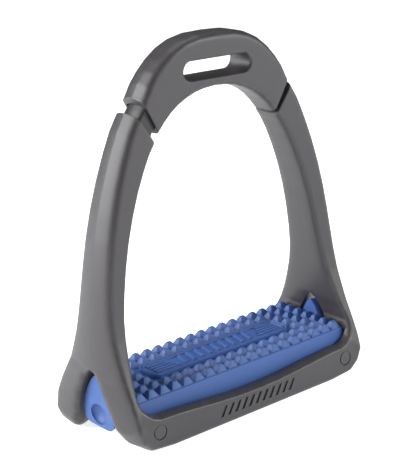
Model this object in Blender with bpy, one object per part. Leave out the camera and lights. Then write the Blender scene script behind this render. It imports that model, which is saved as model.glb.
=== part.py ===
"""Stirrup iron: a moulded foot frame, a crown that rocks on two neck tongues, and a rubber tread pad.

+X is the rider's right seen from the front, +Y is the rear, +Z is up. The frame stands on Z = 0, centred
on X = 0 and Y = 0. Every dimension below is in millimetres; the vertices are made in metres.
"""

import math

import bmesh
import bpy
from mathutils import Matrix, Vector

MM = 0.001
GAP = 0.35

# Neck: the crown rocks about a cross axis at the centre of the two neck tongues.
PIVOT_Z = 106.0
REST_ROCK_DEG = 1.8
ROCK_LIMIT_DEG = 4.2

# Lower frame: the half depth of the side view at each height, as (height, half depth).
SIDE_PROFILE = [
    (0.0, 28.2), (10.0, 28.2), (13.0, 27.7), (16.0, 26.5), (20.0, 24.8), (25.0, 22.4), (30.0, 19.8),
    (35.0, 17.6), (40.0, 15.6), (45.0, 13.8), (50.0, 12.5), (55.0, 11.7), (65.0, 10.7), (75.0, 10.2),
    (85.0, 9.8), (95.0, 9.4), (105.0, 9.0), (115.0, 8.6), (125.0, 8.3), (134.0, 8.0),
]
# Arm stations from the neck rim down to the top of the side window: inner (x, z), outer (x, z), and how
# far the ridge along the middle of the outer side stands out.
ARM_STATIONS = [
    ((32.9, 121.6), (41.9, 134.4), 0.9),
    ((35.7, 117.5), (46.0, 127.8), 0.9),
    ((38.7, 112.0), (50.0, 118.7), 0.9),
    ((42.5, 103.7), (54.0, 107.8), 1.0),
    ((45.9, 94.8), (57.3, 96.7), 1.1),
    ((49.0, 84.6), (60.0, 85.2), 1.2),
    ((51.4, 74.2), (61.9, 74.4), 1.3),
    ((53.3, 63.8), (63.4, 63.8), 1.4),
    ((54.9, 54.2), (64.4, 54.2), 1.6),
    ((56.0, 45.6), (64.9, 45.6), 1.9),
    ((57.1, 38.0), (65.1, 38.0), 2.2),
]
WINDOW_APEX = ((58.0, 31.8), (65.1, 31.8), 2.5)
# Below the arm, the front and the rear half differ: the rear foot is fuller. Leg stations from the window
# down: inner, outer, ridge rise, and the half width of the side window on its inner and its outer edge.
# Corner stations: angle on the inner arc, angle on the outer arc, ridge rise, window half widths.
CORNER_CENTRE_IN = (50.0, 23.6)
CORNER_RADIUS_IN = 9.5
FRONT_FOOT = {
    "legs": [
        ((58.8, 28.4), (65.1, 28.2), 2.7, 3.8, 4.0),
        ((59.5, 23.9), (65.0, 21.6), 2.8, 6.7, 7.4),
        ((58.9, 20.3), (64.8, 15.6), 2.8, 8.8, 9.9),
    ],
    "centre": (52.4, 12.0),
    "radius": 12.3,
    "corners": [
        (40.0, 10.0, 2.6, 11.2, 11.9),
        (60.0, 38.0, 1.9, 15.0, 14.6),
        (80.0, 66.0, 0.8, 19.5, 19.5),
    ],
}
REAR_FOOT = {
    "legs": [
        ((58.8, 28.4), (65.7, 28.2), 2.5, 3.8, 4.4),
        ((59.5, 23.9), (66.6, 21.0), 2.2, 6.7, 8.2),
        ((58.9, 20.3), (67.1, 13.5), 1.9, 8.8, 10.6),
    ],
    "centre": (61.1, 6.2),
    "radius": 6.2,
    "corners": [
        (40.0, 6.0, 1.6, 11.2, 11.6),
        (60.0, 40.0, 1.2, 12.4, 11.0),
        (80.0, 70.0, 0.5, 16.0, 12.4),
    ],
}
BAR_INNER_FACE = 21.6
BAR_STATIONS = [(45.5, 14.1), (35.0, 13.4), (23.5, 12.5), (12.0, 11.7), (0.0, 11.4)]
EDGE_INNER = 1.7
EDGE_OUTER = 2.3
BAR_EDGE_TOP = 0.9
BAR_EDGE_BOTTOM = 1.9
INNER_DRAFT = 0.8
FOOT_TRIM = 0.3

# Tread floor inside the foot bars, and the pocket that the pad lies in.
POCKET_HALF = (59.3, 22.2)
POCKET_BITE = 0.05
FLOOR_HALF = (55.2, 23.2)
FLOOR_BOTTOM = 6.0
FLOOR_TOP = 9.0
RIB_BOTTOM = 2.0
RIB_THICK = 2.4
RIB_X = (-26.0, 0.0, 26.0)
PEG_X = (-42.0, -13.0, 13.0, 42.0)
PEG_Y = 11.5
PEG_HOLE_RADIUS = 3.0

# Neck tongues, in polar form about the rock axis.
TONGUE_R = (38.5, 48.0)
TONGUE_RIDGE_R = 49.0
TONGUE_HALF_DEPTH = 5.9
TONGUE_ANGLES = (24.0, 52.8)
TAIL_R = (40.4, 47.2)
TAIL_HALF_DEPTH = 4.8
TAIL_ANGLES = (11.0, 25.0)
TONGUE_CHAMFER = 0.9
PIN_R = 43.4
TONGUE_PIN_ANGLE = 17.5
TONGUE_PIN_RADIUS = 1.5
TONGUE_PIN_Y = (-5.6, 7.4)
STOP_PIN_ANGLE = 45.0
STOP_PIN_RADIUS = 1.25
STOP_PIN_Y = (-4.4, 5.4)
STOP_SLOT_HALF_ANGLE = 6.5
BUFFER_ANGLES = (57.6, 60.4)
BUFFER_R = (39.4, 46.9)
BUFFER_HALF_DEPTH = 4.6
CROWN_POCKET_ANGLES = (26.0, 60.8)

# Crown, upright: inner (x, z) and outer (x, z) points from the neck to the top, ridge rise, half depth.
CROWN_STATIONS = [
    ((31.3, 124.1), (39.3, 138.7), 0.9, 7.8),
    ((28.3, 127.7), (36.3, 144.2), 0.8, 7.6),
    ((24.6, 131.1), (32.8, 148.9), 0.6, 7.4),
    ((20.5, 134.0), (28.4, 153.4), 0.4, 7.3),
    ((16.1, 136.2), (23.2, 157.3), 0.2, 7.2),
    ((11.4, 137.9), (17.2, 160.1), 0.0, 7.1),
    ((6.4, 139.0), (9.6, 161.7), 0.0, 7.1),
    ((0.0, 139.5), (0.0, 162.0), 0.0, 7.1),
]
SLOT_CENTRE_Z = 147.6
SLOT_HALF_LENGTH = 17.9
SLOT_HALF_HEIGHT = 3.95
SLOT_LIP = 1.2
SLOT_ARC_STEPS = 8

# Tread pad.
PAD_HALF_LENGTH = 58.95
PAD_HALF_DEPTH = 21.3
PAD_TOP_HALF_DEPTH = 19.8
PAD_BOTTOM = 9.35
PAD_TOP = 20.2
PAD_CORNER_RADIUS = 8.2
PAD_SIDE_TOP = 17.8
STUD_COLUMNS = 19
STUD_ROWS = 7
STUD_PITCH_X = 6.2
STUD_PITCH_Y = 5.65
STUD_HEIGHT = 2.7
STUD_TAPER = 1.75
STUD_VALLEY = 0.3
PLAQUE_COLUMNS = 13
PLAQUE_ROWS = 3
PLAQUE_HEIGHT = 2.2
PLUG_X = (58.3, 64.0)
PLUG_TAPER = 0.74
PLUG_OUTLINE = [
    (0.0, 5.2), (7.2, 5.3), (9.9, 6.9), (10.6, 10.4), (9.6, 15.6), (7.7, 19.8), (5.6, 23.6), (3.0, 26.8),
    (0.0, 28.7),
]
DIMPLE_CENTRE = (0.0, 10.8)
DIMPLE_RADII = (5.5, 4.5)
DIMPLE_DEPTH = 2.6
PEG_RADIUS = 2.5
PEG_HEAD_RADIUS = 3.7
PEG_Z = (3.0, 5.4)

SUBDIVISION = 1


# ---------------------------------------------------------------- helpers

def clear_scene():
    """Remove every object, so the model starts from an empty scene."""
    for obj in list(bpy.data.objects):
        bpy.data.objects.remove(obj, do_unlink=True)


def material(name, colour, roughness, metallic=0.0):
    """A Principled material in one colour."""
    mat = bpy.data.materials.new(name)
    mat.use_nodes = True
    shader = mat.node_tree.nodes["Principled BSDF"]
    shader.inputs["Base Color"].default_value = (*colour, 1.0)
    shader.inputs["Roughness"].default_value = roughness
    shader.inputs["Metallic"].default_value = metallic
    return mat


def object_from_bmesh(name, bm, mat=None):
    """Close a bmesh whose coordinates are in millimetres into a linked object in metres."""
    bmesh.ops.scale(bm, vec=(MM, MM, MM), verts=bm.verts)
    bmesh.ops.recalc_face_normals(bm, faces=bm.faces)
    mesh = bpy.data.meshes.new(name)
    bm.to_mesh(mesh)
    bm.free()
    obj = bpy.data.objects.new(name, mesh)
    bpy.context.scene.collection.objects.link(obj)
    if mat is not None:
        mesh.materials.append(mat)
    return obj


def cutter(name, bm):
    """A helper object for a Boolean, left out of the built model."""
    obj = object_from_bmesh(name, bm)
    obj.hide_render = True
    obj.display_type = "WIRE"
    return obj


def boolean(obj, other, operation):
    """Add an exact Boolean of another object."""
    mod = obj.modifiers.new(f"{operation.lower()}_{other.name}", "BOOLEAN")
    mod.operation = operation
    mod.solver = "EXACT"
    mod.object = other


def subdivide(obj, levels):
    """Add a Catmull-Clark subdivision."""
    mod = obj.modifiers.new("subdivision", "SUBSURF")
    mod.levels = levels
    mod.render_levels = levels


def mirror(obj, axes):
    """Add a mirror about the object's origin that joins its halves."""
    mod = obj.modifiers.new("mirror", "MIRROR")
    mod.use_axis = axes
    mod.merge_threshold = 0.00005


def interpolate(table, value):
    """Read a table of (key, value) pairs along straight lines."""
    for (low_key, low), (high_key, high) in zip(table, table[1:]):
        if value <= high_key:
            share = max(0.0, (value - low_key) / (high_key - low_key))
            return low + share * (high - low)
    return table[-1][1]


def polar(radius, angle_deg):
    """A point (x, z) at a radius and an angle about the rock axis, relative to that axis."""
    angle = math.radians(angle_deg)
    return radius * math.cos(angle), radius * math.sin(angle)


def steps(start, end, count):
    """Evenly spaced values from start to end, both included."""
    return [start + (end - start) * i / count for i in range(count + 1)]


def prism(bm, outline, axis, low, high):
    """Add an extruded outline of 2-D points along X or Y between two planes."""
    def place(point, level):
        a, b = point
        return (level, a, b) if axis == "X" else (a, level, b)
    bottom = [bm.verts.new(place(p, low)) for p in outline]
    top = [bm.verts.new(place(p, high)) for p in outline]
    bm.faces.new(bottom)
    bm.faces.new(list(reversed(top)))
    for i in range(len(outline)):
        j = (i + 1) % len(outline)
        bm.faces.new((bottom[i], top[i], top[j], bottom[j]))


def box(bm, low, high):
    """Add an upright box between two corners."""
    size = [h - l for l, h in zip(low, high)]
    centre = [(h + l) / 2 for l, h in zip(low, high)]
    bmesh.ops.create_cube(bm, size=1.0, matrix=Matrix.Translation(centre) @ Matrix.Diagonal((*size, 1.0)))


def rod(bm, centre, radius, low, high, segments):
    """Add a cylinder along Y through (x, z), between two Y levels."""
    place = Matrix.Translation((centre[0], (low + high) / 2, centre[1])) @ Matrix.Rotation(math.pi / 2, 4, "X")
    bmesh.ops.create_cone(bm, cap_ends=True, segments=segments, radius1=radius, radius2=radius,
                          depth=high - low, matrix=place)


def arc_bar(bm, section, angles, count, side):
    """Sweep a section of (radius, y) points about the rock axis, on the side +1 or -1."""
    rings = []
    for angle in steps(angles[0], angles[1], count):
        ring = []
        for radius, y in section:
            x, z = polar(radius, angle)
            ring.append(bm.verts.new((side * x, y, z)))
        rings.append(ring)
    for lower, upper in zip(rings, rings[1:]):
        for i in range(len(section)):
            j = (i + 1) % len(section)
            bm.faces.new((lower[i], lower[j], upper[j], upper[i]))
    bm.faces.new(rings[0])
    bm.faces.new(list(reversed(rings[-1])))


# ---------------------------------------------------------------- cages

def half_section(inner, outer, depth_in, depth_out, edges, rise, window=(0.0, 0.0)):
    """Six points round the front half of a limb: inner middle, inner edge, front face, outer edge, ridge."""
    edge_in, edge_out = edges
    start = Vector((inner[0], 0.0, inner[1]))
    end = Vector((outer[0], 0.0, outer[1]))
    across = (end - start).normalized()
    forward = Vector((0.0, -1.0, 0.0))
    bulge = rise * (1.0 - (window[1] / depth_out) ** 2)
    return [
        start + forward * window[0],
        start + forward * (depth_in - edge_in),
        start + across * edge_in + forward * depth_in,
        end - across * edge_out + forward * depth_out,
        end + forward * (depth_out - edge_out),
        end + across * bulge + forward * window[1],
    ]


def arm_sections(foot):
    """Right sections from the neck rim down, round the foot corner and to the middle of the bar."""
    sections = []
    for inner, outer, rise in ARM_STATIONS + [WINDOW_APEX]:
        depth_in = interpolate(SIDE_PROFILE, inner[1]) - INNER_DRAFT
        depth_out = interpolate(SIDE_PROFILE, outer[1])
        sections.append(half_section(inner, outer, depth_in, depth_out, (EDGE_INNER, EDGE_OUTER), rise))
    for inner, outer, rise, window_in, window_out in foot["legs"]:
        depth_in = interpolate(SIDE_PROFILE, inner[1]) - INNER_DRAFT / 2
        depth_out = interpolate(SIDE_PROFILE, outer[1])
        sections.append(half_section(inner, outer, depth_in, depth_out, (EDGE_INNER, EDGE_OUTER), rise,
                                     (window_in, window_out)))
    for angle_in, angle_out, rise, window_in, window_out in foot["corners"]:
        a, b = math.radians(angle_in), math.radians(angle_out)
        inner = (CORNER_CENTRE_IN[0] + CORNER_RADIUS_IN * math.cos(a),
                 CORNER_CENTRE_IN[1] - CORNER_RADIUS_IN * math.sin(a))
        outer = (foot["centre"][0] + foot["radius"] * math.cos(b),
                 foot["centre"][1] - foot["radius"] * math.sin(b))
        share = angle_in / 90.0
        edges = (EDGE_INNER + share * (BAR_EDGE_TOP - EDGE_INNER),
                 EDGE_OUTER + share * (BAR_EDGE_BOTTOM - EDGE_OUTER))
        sections.append(half_section(inner, outer, interpolate(SIDE_PROFILE, inner[1]),
                                     interpolate(SIDE_PROFILE, outer[1]), edges, rise,
                                     (window_in, window_out)))
    depth = SIDE_PROFILE[0][1]
    for x, top in BAR_STATIONS:
        sections.append(half_section((x, top), (x, -FOOT_TRIM), interpolate(SIDE_PROFILE, top), depth,
                                     (BAR_EDGE_TOP, BAR_EDGE_BOTTOM), 0.0,
                                     (BAR_INNER_FACE, BAR_INNER_FACE)))
    return sections


def cage(sections, split_from=None, cap_first=True, origin=(0.0, 0.0, 0.0), bm=None):
    """Skin half sections into a quarter cage; from split_from on, each section closes on its own."""
    bm = bm or bmesh.new()
    shift = Vector(origin)
    rings = [[bm.verts.new(point - shift) for point in section] for section in sections]
    last = len(rings[0]) - 1
    for index, (upper, lower) in enumerate(zip(rings, rings[1:])):
        for i in range(last):
            bm.faces.new((upper[i], upper[i + 1], lower[i + 1], lower[i]))
        if split_from is not None and index >= split_from:
            bm.faces.new((upper[last], upper[0], lower[0], lower[last]))
    if cap_first:
        first = rings[0]
        bm.faces.new((first[0], first[1], first[4], first[5]))
        bm.faces.new((first[1], first[2], first[3], first[4]))
    return bm, rings


def set_crease(bm, chain, value):
    """Crease the edges between consecutive vertices."""
    layer = bm.edges.layers.float.get("crease_edge") or bm.edges.layers.float.new("crease_edge")
    for a, b in zip(chain, chain[1:]):
        edge = bm.edges.get((a, b))
        if edge is not None:
            edge[layer] = value


def crease_cap(bm, rings):
    """Keep the rim of the capped end sharp."""
    set_crease(bm, rings[0], 1.0)


# ---------------------------------------------------------------- lower frame

def floor_cutter():
    """The tread floor with its ribs and peg holes, to be united with the foot frame."""
    bm = bmesh.new()
    half_x, half_y = FLOOR_HALF
    box(bm, (-half_x, -half_y, FLOOR_BOTTOM), (half_x, half_y, FLOOR_TOP))
    return cutter("floor_plate", bm)


def rib_cutters():
    """Cross ribs and one long rib under the floor."""
    ribs = []
    half = RIB_THICK / 2
    for index, x in enumerate(RIB_X):
        bm = bmesh.new()
        box(bm, (x - half, -FLOOR_HALF[1], RIB_BOTTOM), (x + half, FLOOR_HALF[1], FLOOR_BOTTOM + 1.0))
        ribs.append(cutter(f"cross_rib_{index + 1}", bm))
    bm = bmesh.new()
    box(bm, (-FLOOR_HALF[0] + 1.0, -half, RIB_BOTTOM + 0.5), (FLOOR_HALF[0] - 1.0, half, FLOOR_BOTTOM + 1.1))
    ribs.append(cutter("long_rib", bm))
    return ribs


def peg_hole_cutter():
    """All the peg holes through the floor."""
    bm = bmesh.new()
    for x in PEG_X:
        for y in (-PEG_Y, PEG_Y):
            centre = (x, y, (FLOOR_BOTTOM + FLOOR_TOP) / 2)
            bmesh.ops.create_cone(bm, cap_ends=True, segments=16, radius1=PEG_HOLE_RADIUS,
                                  radius2=PEG_HOLE_RADIUS, depth=8.0, matrix=Matrix.Translation(centre))
    return cutter("peg_holes", bm)


def tongue_section(clearance, r_range, half_depth, ridge):
    """Section of a tongue as (radius, y) points with chamfered edges; clearance grows it all round."""
    low = r_range[0] - clearance
    high = r_range[1] + clearance
    depth = half_depth + clearance
    c = TONGUE_CHAMFER
    front = [(low, -(depth - c)), (low + c, -depth), (high - c, -depth), (high, -(depth - c))]
    back = [(r, -y) for r, y in reversed(front)]
    middle = [(ridge + clearance, 0.0)] if ridge else []
    return front + middle + back


def arm_socket_cutters():
    """The wide mouth, the narrow socket and the pin hole that hold a tongue in each arm."""
    mouth, socket, hole = bmesh.new(), bmesh.new(), bmesh.new()
    x, z = polar(PIN_R, TONGUE_PIN_ANGLE)
    for side in (1, -1):
        section = tongue_section(GAP, TONGUE_R, TONGUE_HALF_DEPTH, TONGUE_RIDGE_R)
        arc_bar(mouth, section, (TONGUE_ANGLES[0] - 0.5, 47.0), 8, side)
        section = tongue_section(GAP, TAIL_R, TAIL_HALF_DEPTH, None)
        arc_bar(socket, section, (TAIL_ANGLES[0] - 0.5, TAIL_ANGLES[1]), 5, side)
        rod(hole, (side * x, z), TONGUE_PIN_RADIUS + GAP + 0.05, TONGUE_PIN_Y[0] - GAP, 12.0, 16)
    tools = [cutter("arm_mouths", mouth), cutter("arm_sockets", socket), cutter("arm_pin_holes", hole)]
    for tool in tools:
        tool.location.z = PIVOT_Z * MM
    return tools


def lower_frame(mat):
    """Both arms, the foot bars and the tread floor, moulded as one."""
    apex = len(ARM_STATIONS)
    bm = bmesh.new()
    for foot, sign in ((FRONT_FOOT, 1.0), (REAR_FOOT, -1.0)):
        sections = [[Vector((p.x, sign * p.y, p.z)) for p in section] for section in arm_sections(foot)]
        _, rings = cage(sections, split_from=apex, bm=bm)
        crease_cap(bm, rings)
        set_crease(bm, [ring[5] for ring in rings[:6]], 0.75)
        set_crease(bm, [ring[5] for ring in rings[5:8]], 0.4)
        set_crease(bm, [ring[0] for ring in rings[apex:]], 0.8)
        set_crease(bm, [ring[5] for ring in rings[apex:]], 0.4)
    bmesh.ops.remove_doubles(bm, verts=bm.verts, dist=0.01)
    frame = object_from_bmesh("lower_frame", bm, mat)
    mirror(frame, (True, False, False))
    subdivide(frame, SUBDIVISION)
    boolean(frame, floor_cutter(), "UNION")
    for rib in rib_cutters():
        boolean(frame, rib, "UNION")
    bm = bmesh.new()
    box(bm, (-80.0, -40.0, -10.0), (80.0, 40.0, 0.0))
    boolean(frame, cutter("ground_trim", bm), "DIFFERENCE")
    bm = bmesh.new()
    box(bm, (-POCKET_HALF[0], -POCKET_HALF[1], FLOOR_TOP - POCKET_BITE), (POCKET_HALF[0], POCKET_HALF[1], 24.0))
    boolean(frame, cutter("pad_pocket", bm), "DIFFERENCE")
    boolean(frame, peg_hole_cutter(), "DIFFERENCE")
    for tool in arm_socket_cutters():
        boolean(frame, tool, "DIFFERENCE")
    return frame


# ---------------------------------------------------------------- neck

def neck_tongue(side, name, mat):
    """One arc-shaped tongue: a wide head that the crown slides on, and a tail pinned in the arm."""
    bm = bmesh.new()
    arc_bar(bm, tongue_section(0.0, TONGUE_R, TONGUE_HALF_DEPTH, TONGUE_RIDGE_R), TONGUE_ANGLES, 9, side)
    tongue = object_from_bmesh(f"{name}_neck_tongue", bm, mat)
    tongue.location.z = PIVOT_Z * MM
    bm = bmesh.new()
    arc_bar(bm, tongue_section(0.0, TAIL_R, TAIL_HALF_DEPTH, None), TAIL_ANGLES, 4, side)
    tail = cutter(f"{name}_tongue_tail", bm)
    bm = bmesh.new()
    x, z = polar(PIN_R, TONGUE_PIN_ANGLE)
    rod(bm, (side * x, z), TONGUE_PIN_RADIUS + GAP, -12.0, 12.0, 16)
    pin_hole = cutter(f"{name}_tongue_pin_hole", bm)
    bm = bmesh.new()
    half = STOP_PIN_RADIUS + GAP
    section = [(PIN_R - half, -12.0), (PIN_R + half, -12.0), (PIN_R + half, 12.0), (PIN_R - half, 12.0)]
    ends = (STOP_PIN_ANGLE - STOP_SLOT_HALF_ANGLE, STOP_PIN_ANGLE + STOP_SLOT_HALF_ANGLE)
    arc_bar(bm, section, ends, 5, side)
    slot = cutter(f"{name}_tongue_slot", bm)
    for tool, operation in ((tail, "UNION"), (pin_hole, "DIFFERENCE"), (slot, "DIFFERENCE")):
        tool.location.z = PIVOT_Z * MM
        boolean(tongue, tool, operation)
    return tongue


def tongue_pin(side, name, mat):
    """Cross pin that holds a tongue in its arm, driven in from the rear."""
    bm = bmesh.new()
    x, z = polar(PIN_R, TONGUE_PIN_ANGLE)
    rod(bm, (side * x, z), TONGUE_PIN_RADIUS, TONGUE_PIN_Y[0], TONGUE_PIN_Y[1], 16)
    pin = object_from_bmesh(f"{name}_tongue_pin", bm, mat)
    pin.location.z = PIVOT_Z * MM
    pin.data.shade_smooth()
    pin.data.set_sharp_from_angle(angle=math.radians(40))
    return pin


# ---------------------------------------------------------------- crown

def slot_outline(grow):
    """The leather slot's outline as (x, z) points, grown by an amount."""
    centre = SLOT_HALF_LENGTH - SLOT_HALF_HEIGHT
    radius = SLOT_HALF_HEIGHT + grow
    points = []
    for sign in (1, -1):
        for angle in steps(-90.0, 90.0, SLOT_ARC_STEPS):
            a = math.radians(angle)
            points.append((sign * (centre + radius * math.cos(a)), SLOT_CENTRE_Z - PIVOT_Z
                           + sign * radius * math.sin(a)))
    return points


def slot_cutter():
    """The leather slot with a flared lip on both faces."""
    face = CROWN_STATIONS[-1][3]
    levels = [(-face - 2.0, SLOT_LIP), (-face, SLOT_LIP), (-face + SLOT_LIP, 0.0), (face - SLOT_LIP, 0.0),
              (face, SLOT_LIP), (face + 2.0, SLOT_LIP)]
    bm = bmesh.new()
    rings = []
    for y, grow in levels:
        rings.append([bm.verts.new((x, y, z)) for x, z in slot_outline(grow)])
    for lower, upper in zip(rings, rings[1:]):
        for i in range(len(lower)):
            j = (i + 1) % len(lower)
            bm.faces.new((lower[i], lower[j], upper[j], upper[i]))
    bm.faces.new(rings[0])
    bm.faces.new(list(reversed(rings[-1])))
    return cutter("leather_slot", bm)


def crown(mat, pivot):
    """The top of the iron, with the leather slot and a pocket in each end for a neck tongue."""
    sections = [half_section(inner, outer, depth - INNER_DRAFT / 2, depth, (EDGE_INNER, EDGE_OUTER), rise)
                for inner, outer, rise, depth in CROWN_STATIONS]
    bm, rings = cage(sections, origin=(0.0, 0.0, PIVOT_Z))
    crease_cap(bm, rings)
    set_crease(bm, [ring[5] for ring in rings[:3]], 0.7)
    set_crease(bm, [ring[5] for ring in rings[2:5]], 0.35)
    top = object_from_bmesh("crown", bm, mat)
    mirror(top, (True, True, False))
    subdivide(top, SUBDIVISION)
    tools = [slot_cutter()]
    for side, name in ((1, "right"), (-1, "left")):
        bm = bmesh.new()
        section = tongue_section(GAP, TONGUE_R, TONGUE_HALF_DEPTH, TONGUE_RIDGE_R)
        arc_bar(bm, section, CROWN_POCKET_ANGLES, 10, side)
        tools.append(cutter(f"{name}_crown_pocket", bm))
        bm = bmesh.new()
        x, z = polar(PIN_R, STOP_PIN_ANGLE)
        rod(bm, (side * x, z), STOP_PIN_RADIUS + GAP, STOP_PIN_Y[0] - 1.8, 12.0, 16)
        tools.append(cutter(f"{name}_crown_pin_hole", bm))
    top.parent = pivot
    for tool in tools:
        tool.parent = pivot
        boolean(top, tool, "DIFFERENCE")
    return top


def stop_pin(side, name, mat, pivot):
    """Cross pin in the crown that runs in the tongue's slot."""
    bm = bmesh.new()
    x, z = polar(PIN_R, STOP_PIN_ANGLE)
    rod(bm, (side * x, z), STOP_PIN_RADIUS, STOP_PIN_Y[0] - 1.4, STOP_PIN_Y[1] + 1.0, 16)
    pin = object_from_bmesh(f"{name}_stop_pin", bm, mat)
    pin.parent = pivot
    pin.data.shade_smooth()
    pin.data.set_sharp_from_angle(angle=math.radians(40))
    return pin


def buffer(side, name, mat, pivot):
    """Rubber end stop at the bottom of a crown pocket."""
    bm = bmesh.new()
    low, high = BUFFER_R
    depth = BUFFER_HALF_DEPTH
    section = [(low, -depth), (high, -depth), (high, depth), (low, depth)]
    arc_bar(bm, section, BUFFER_ANGLES, 2, side)
    block = object_from_bmesh(f"{name}_buffer", bm, mat)
    block.parent = pivot
    return block


# ---------------------------------------------------------------- tread pad

def pad_body():
    """The pad's slab: a front outline with rounded lower corners, sloped to the top all round."""
    centre_x = PAD_HALF_LENGTH - PAD_CORNER_RADIUS
    centre_z = PAD_BOTTOM + PAD_CORNER_RADIUS
    right = []
    for angle in steps(-90.0, 0.0, 4):
        a = math.radians(angle)
        right.append((centre_x + PAD_CORNER_RADIUS * math.cos(a), centre_z + PAD_CORNER_RADIUS * math.sin(a)))
    outline = right + [(-x, z) for x, z in reversed(right)]
    bm = bmesh.new()
    prism(bm, outline, "Y", -PAD_HALF_DEPTH, PAD_HALF_DEPTH)
    top = max(bm.faces, key=lambda face: face.calc_center_median().z)
    lifted = bmesh.ops.extrude_face_region(bm, geom=[top])
    bm.faces.remove(top)
    for vert in [item for item in lifted["geom"] if isinstance(item, bmesh.types.BMVert)]:
        vert.co.z = PAD_TOP
        vert.co.y = math.copysign(PAD_TOP_HALF_DEPTH, vert.co.y)
    return bm


def stud_field(bm):
    """Replace the pad's top face by a grid of studs round a raised plaque."""
    top = max(bm.faces, key=lambda face: face.calc_center_median().z)
    bm.faces.remove(top)
    columns = [(i - STUD_COLUMNS / 2) * STUD_PITCH_X for i in range(STUD_COLUMNS + 1)]
    rows = [(j - STUD_ROWS / 2) * STUD_PITCH_Y for j in range(STUD_ROWS + 1)]
    grid = [[bm.verts.new((x, y, PAD_TOP)) for y in rows] for x in columns]
    studs = []
    plaque = []
    for i in range(STUD_COLUMNS):
        for j in range(STUD_ROWS):
            face = bm.faces.new((grid[i][j], grid[i + 1][j], grid[i + 1][j + 1], grid[i][j + 1]))
            near_middle = abs(i - STUD_COLUMNS // 2) <= PLAQUE_COLUMNS // 2
            in_rows = abs(j - STUD_ROWS // 2) <= PLAQUE_ROWS // 2
            (plaque if near_middle and in_rows else studs).append(face)
    rim = [edge for edge in bm.edges if len(edge.link_faces) == 1]
    bmesh.ops.bridge_loops(bm, edges=rim)
    bmesh.ops.inset_individual(bm, faces=studs, thickness=STUD_VALLEY, depth=0.0)
    bmesh.ops.inset_individual(bm, faces=studs, thickness=STUD_TAPER, depth=STUD_HEIGHT)
    plate = bmesh.ops.dissolve_faces(bm, faces=plaque)["region"]
    bmesh.ops.inset_region(bm, faces=plate, thickness=1.0, depth=0.0)
    bmesh.ops.inset_region(bm, faces=plate, thickness=0.5, depth=PLAQUE_HEIGHT)


def plug_cutter(side, name):
    """End plug of the pad: fills the side window and shows as an ear inside the arm."""
    right = PLUG_OUTLINE
    outline = right + [(-y, z) for y, z in reversed(right[1:-1])]
    low, high = PLUG_X
    bm = bmesh.new()
    prism(bm, outline, "X", side * low, side * high)
    for vert in bm.verts:
        if abs(vert.co.x) < low + 0.1:
            vert.co.y *= PLUG_TAPER
    return cutter(f"{name}_plug", bm)


def dimple_cutter(side, name):
    """Oval dimple in the outer face of a plug."""
    bm = bmesh.new()
    bmesh.ops.create_uvsphere(bm, u_segments=16, v_segments=8, radius=1.0)
    bmesh.ops.scale(bm, vec=(DIMPLE_DEPTH, DIMPLE_RADII[0], DIMPLE_RADII[1]), verts=bm.verts)
    bmesh.ops.translate(bm, vec=(side * PLUG_X[1], *DIMPLE_CENTRE), verts=bm.verts)
    return cutter(f"{name}_dimple", bm)


def peg_cutter():
    """Pegs with snap heads that hold the pad on the floor."""
    bm = bmesh.new()
    for x in PEG_X:
        for y in (-PEG_Y, PEG_Y):
            profile = [(0.0, PEG_Z[0]), (PEG_HEAD_RADIUS - 0.8, PEG_Z[0]), (PEG_HEAD_RADIUS, PEG_Z[1] - 0.8),
                       (PEG_HEAD_RADIUS, PEG_Z[1]), (PEG_RADIUS, PEG_Z[1]), (PEG_RADIUS, PAD_BOTTOM + 1.0),
                       (0.0, PAD_BOTTOM + 1.0)]
            verts = [bm.verts.new((x + r, y, z)) for r, z in profile]
            edges = [bm.edges.new(pair) for pair in zip(verts, verts[1:])]
            bmesh.ops.spin(bm, geom=verts + edges, cent=(x, y, 0.0), axis=(0.0, 0.0, 1.0),
                           angle=math.tau, steps=12, use_merge=True)
    bmesh.ops.remove_doubles(bm, verts=bm.verts, dist=0.001)
    return cutter("pad_pegs", bm)


def tread_pad(mat):
    """The rubber pad: studs, plaque, end plugs with dimples, and pegs."""
    bm = pad_body()
    stud_field(bm)
    pad = object_from_bmesh("tread_pad", bm, mat)
    boolean(pad, peg_cutter(), "UNION")
    for side, name in ((1, "right"), (-1, "left")):
        boolean(pad, plug_cutter(side, name), "UNION")
        boolean(pad, dimple_cutter(side, name), "DIFFERENCE")
    return pad


# ---------------------------------------------------------------- assembly

def main():
    """Build every piece of the stirrup iron."""
    clear_scene()
    polymer = material("charcoal_polymer", (0.122, 0.115, 0.124), 0.55)
    tongue_polymer = material("neck_polymer", (0.09, 0.086, 0.094), 0.4)
    steel = material("pin_steel", (0.6, 0.6, 0.62), 0.3, 1.0)
    blue = material("blue_rubber", (0.08, 0.19, 0.5), 0.6)
    black = material("black_rubber", (0.03, 0.03, 0.03), 0.7)
    pivot = bpy.data.objects.new("crown_pivot", None)
    bpy.context.scene.collection.objects.link(pivot)
    pivot.location.z = PIVOT_Z * MM
    pivot.rotation_euler.y = math.radians(REST_ROCK_DEG)
    lower_frame(polymer)
    crown(polymer, pivot)
    for side, name in ((-1, "left"), (1, "right")):
        neck_tongue(side, name, tongue_polymer)
        tongue_pin(side, name, steel)
        stop_pin(side, name, steel, pivot)
        buffer(side, name, black, pivot)
    tread_pad(blue)


main()
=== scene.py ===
"""Stirrup iron in a studio: a moulded foot frame, a rocking crown, neck tongues and a rubber tread pad.

Sizes are in millimetres in the row frame: +X to the right arm, +Y to the rear, +Z up, ground at Z = 0.
"""
import logging
import math
from collections.abc import Iterable, Sequence
from dataclasses import dataclass
from enum import Enum

import bmesh
import bpy
from mathutils import Matrix, Vector


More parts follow.
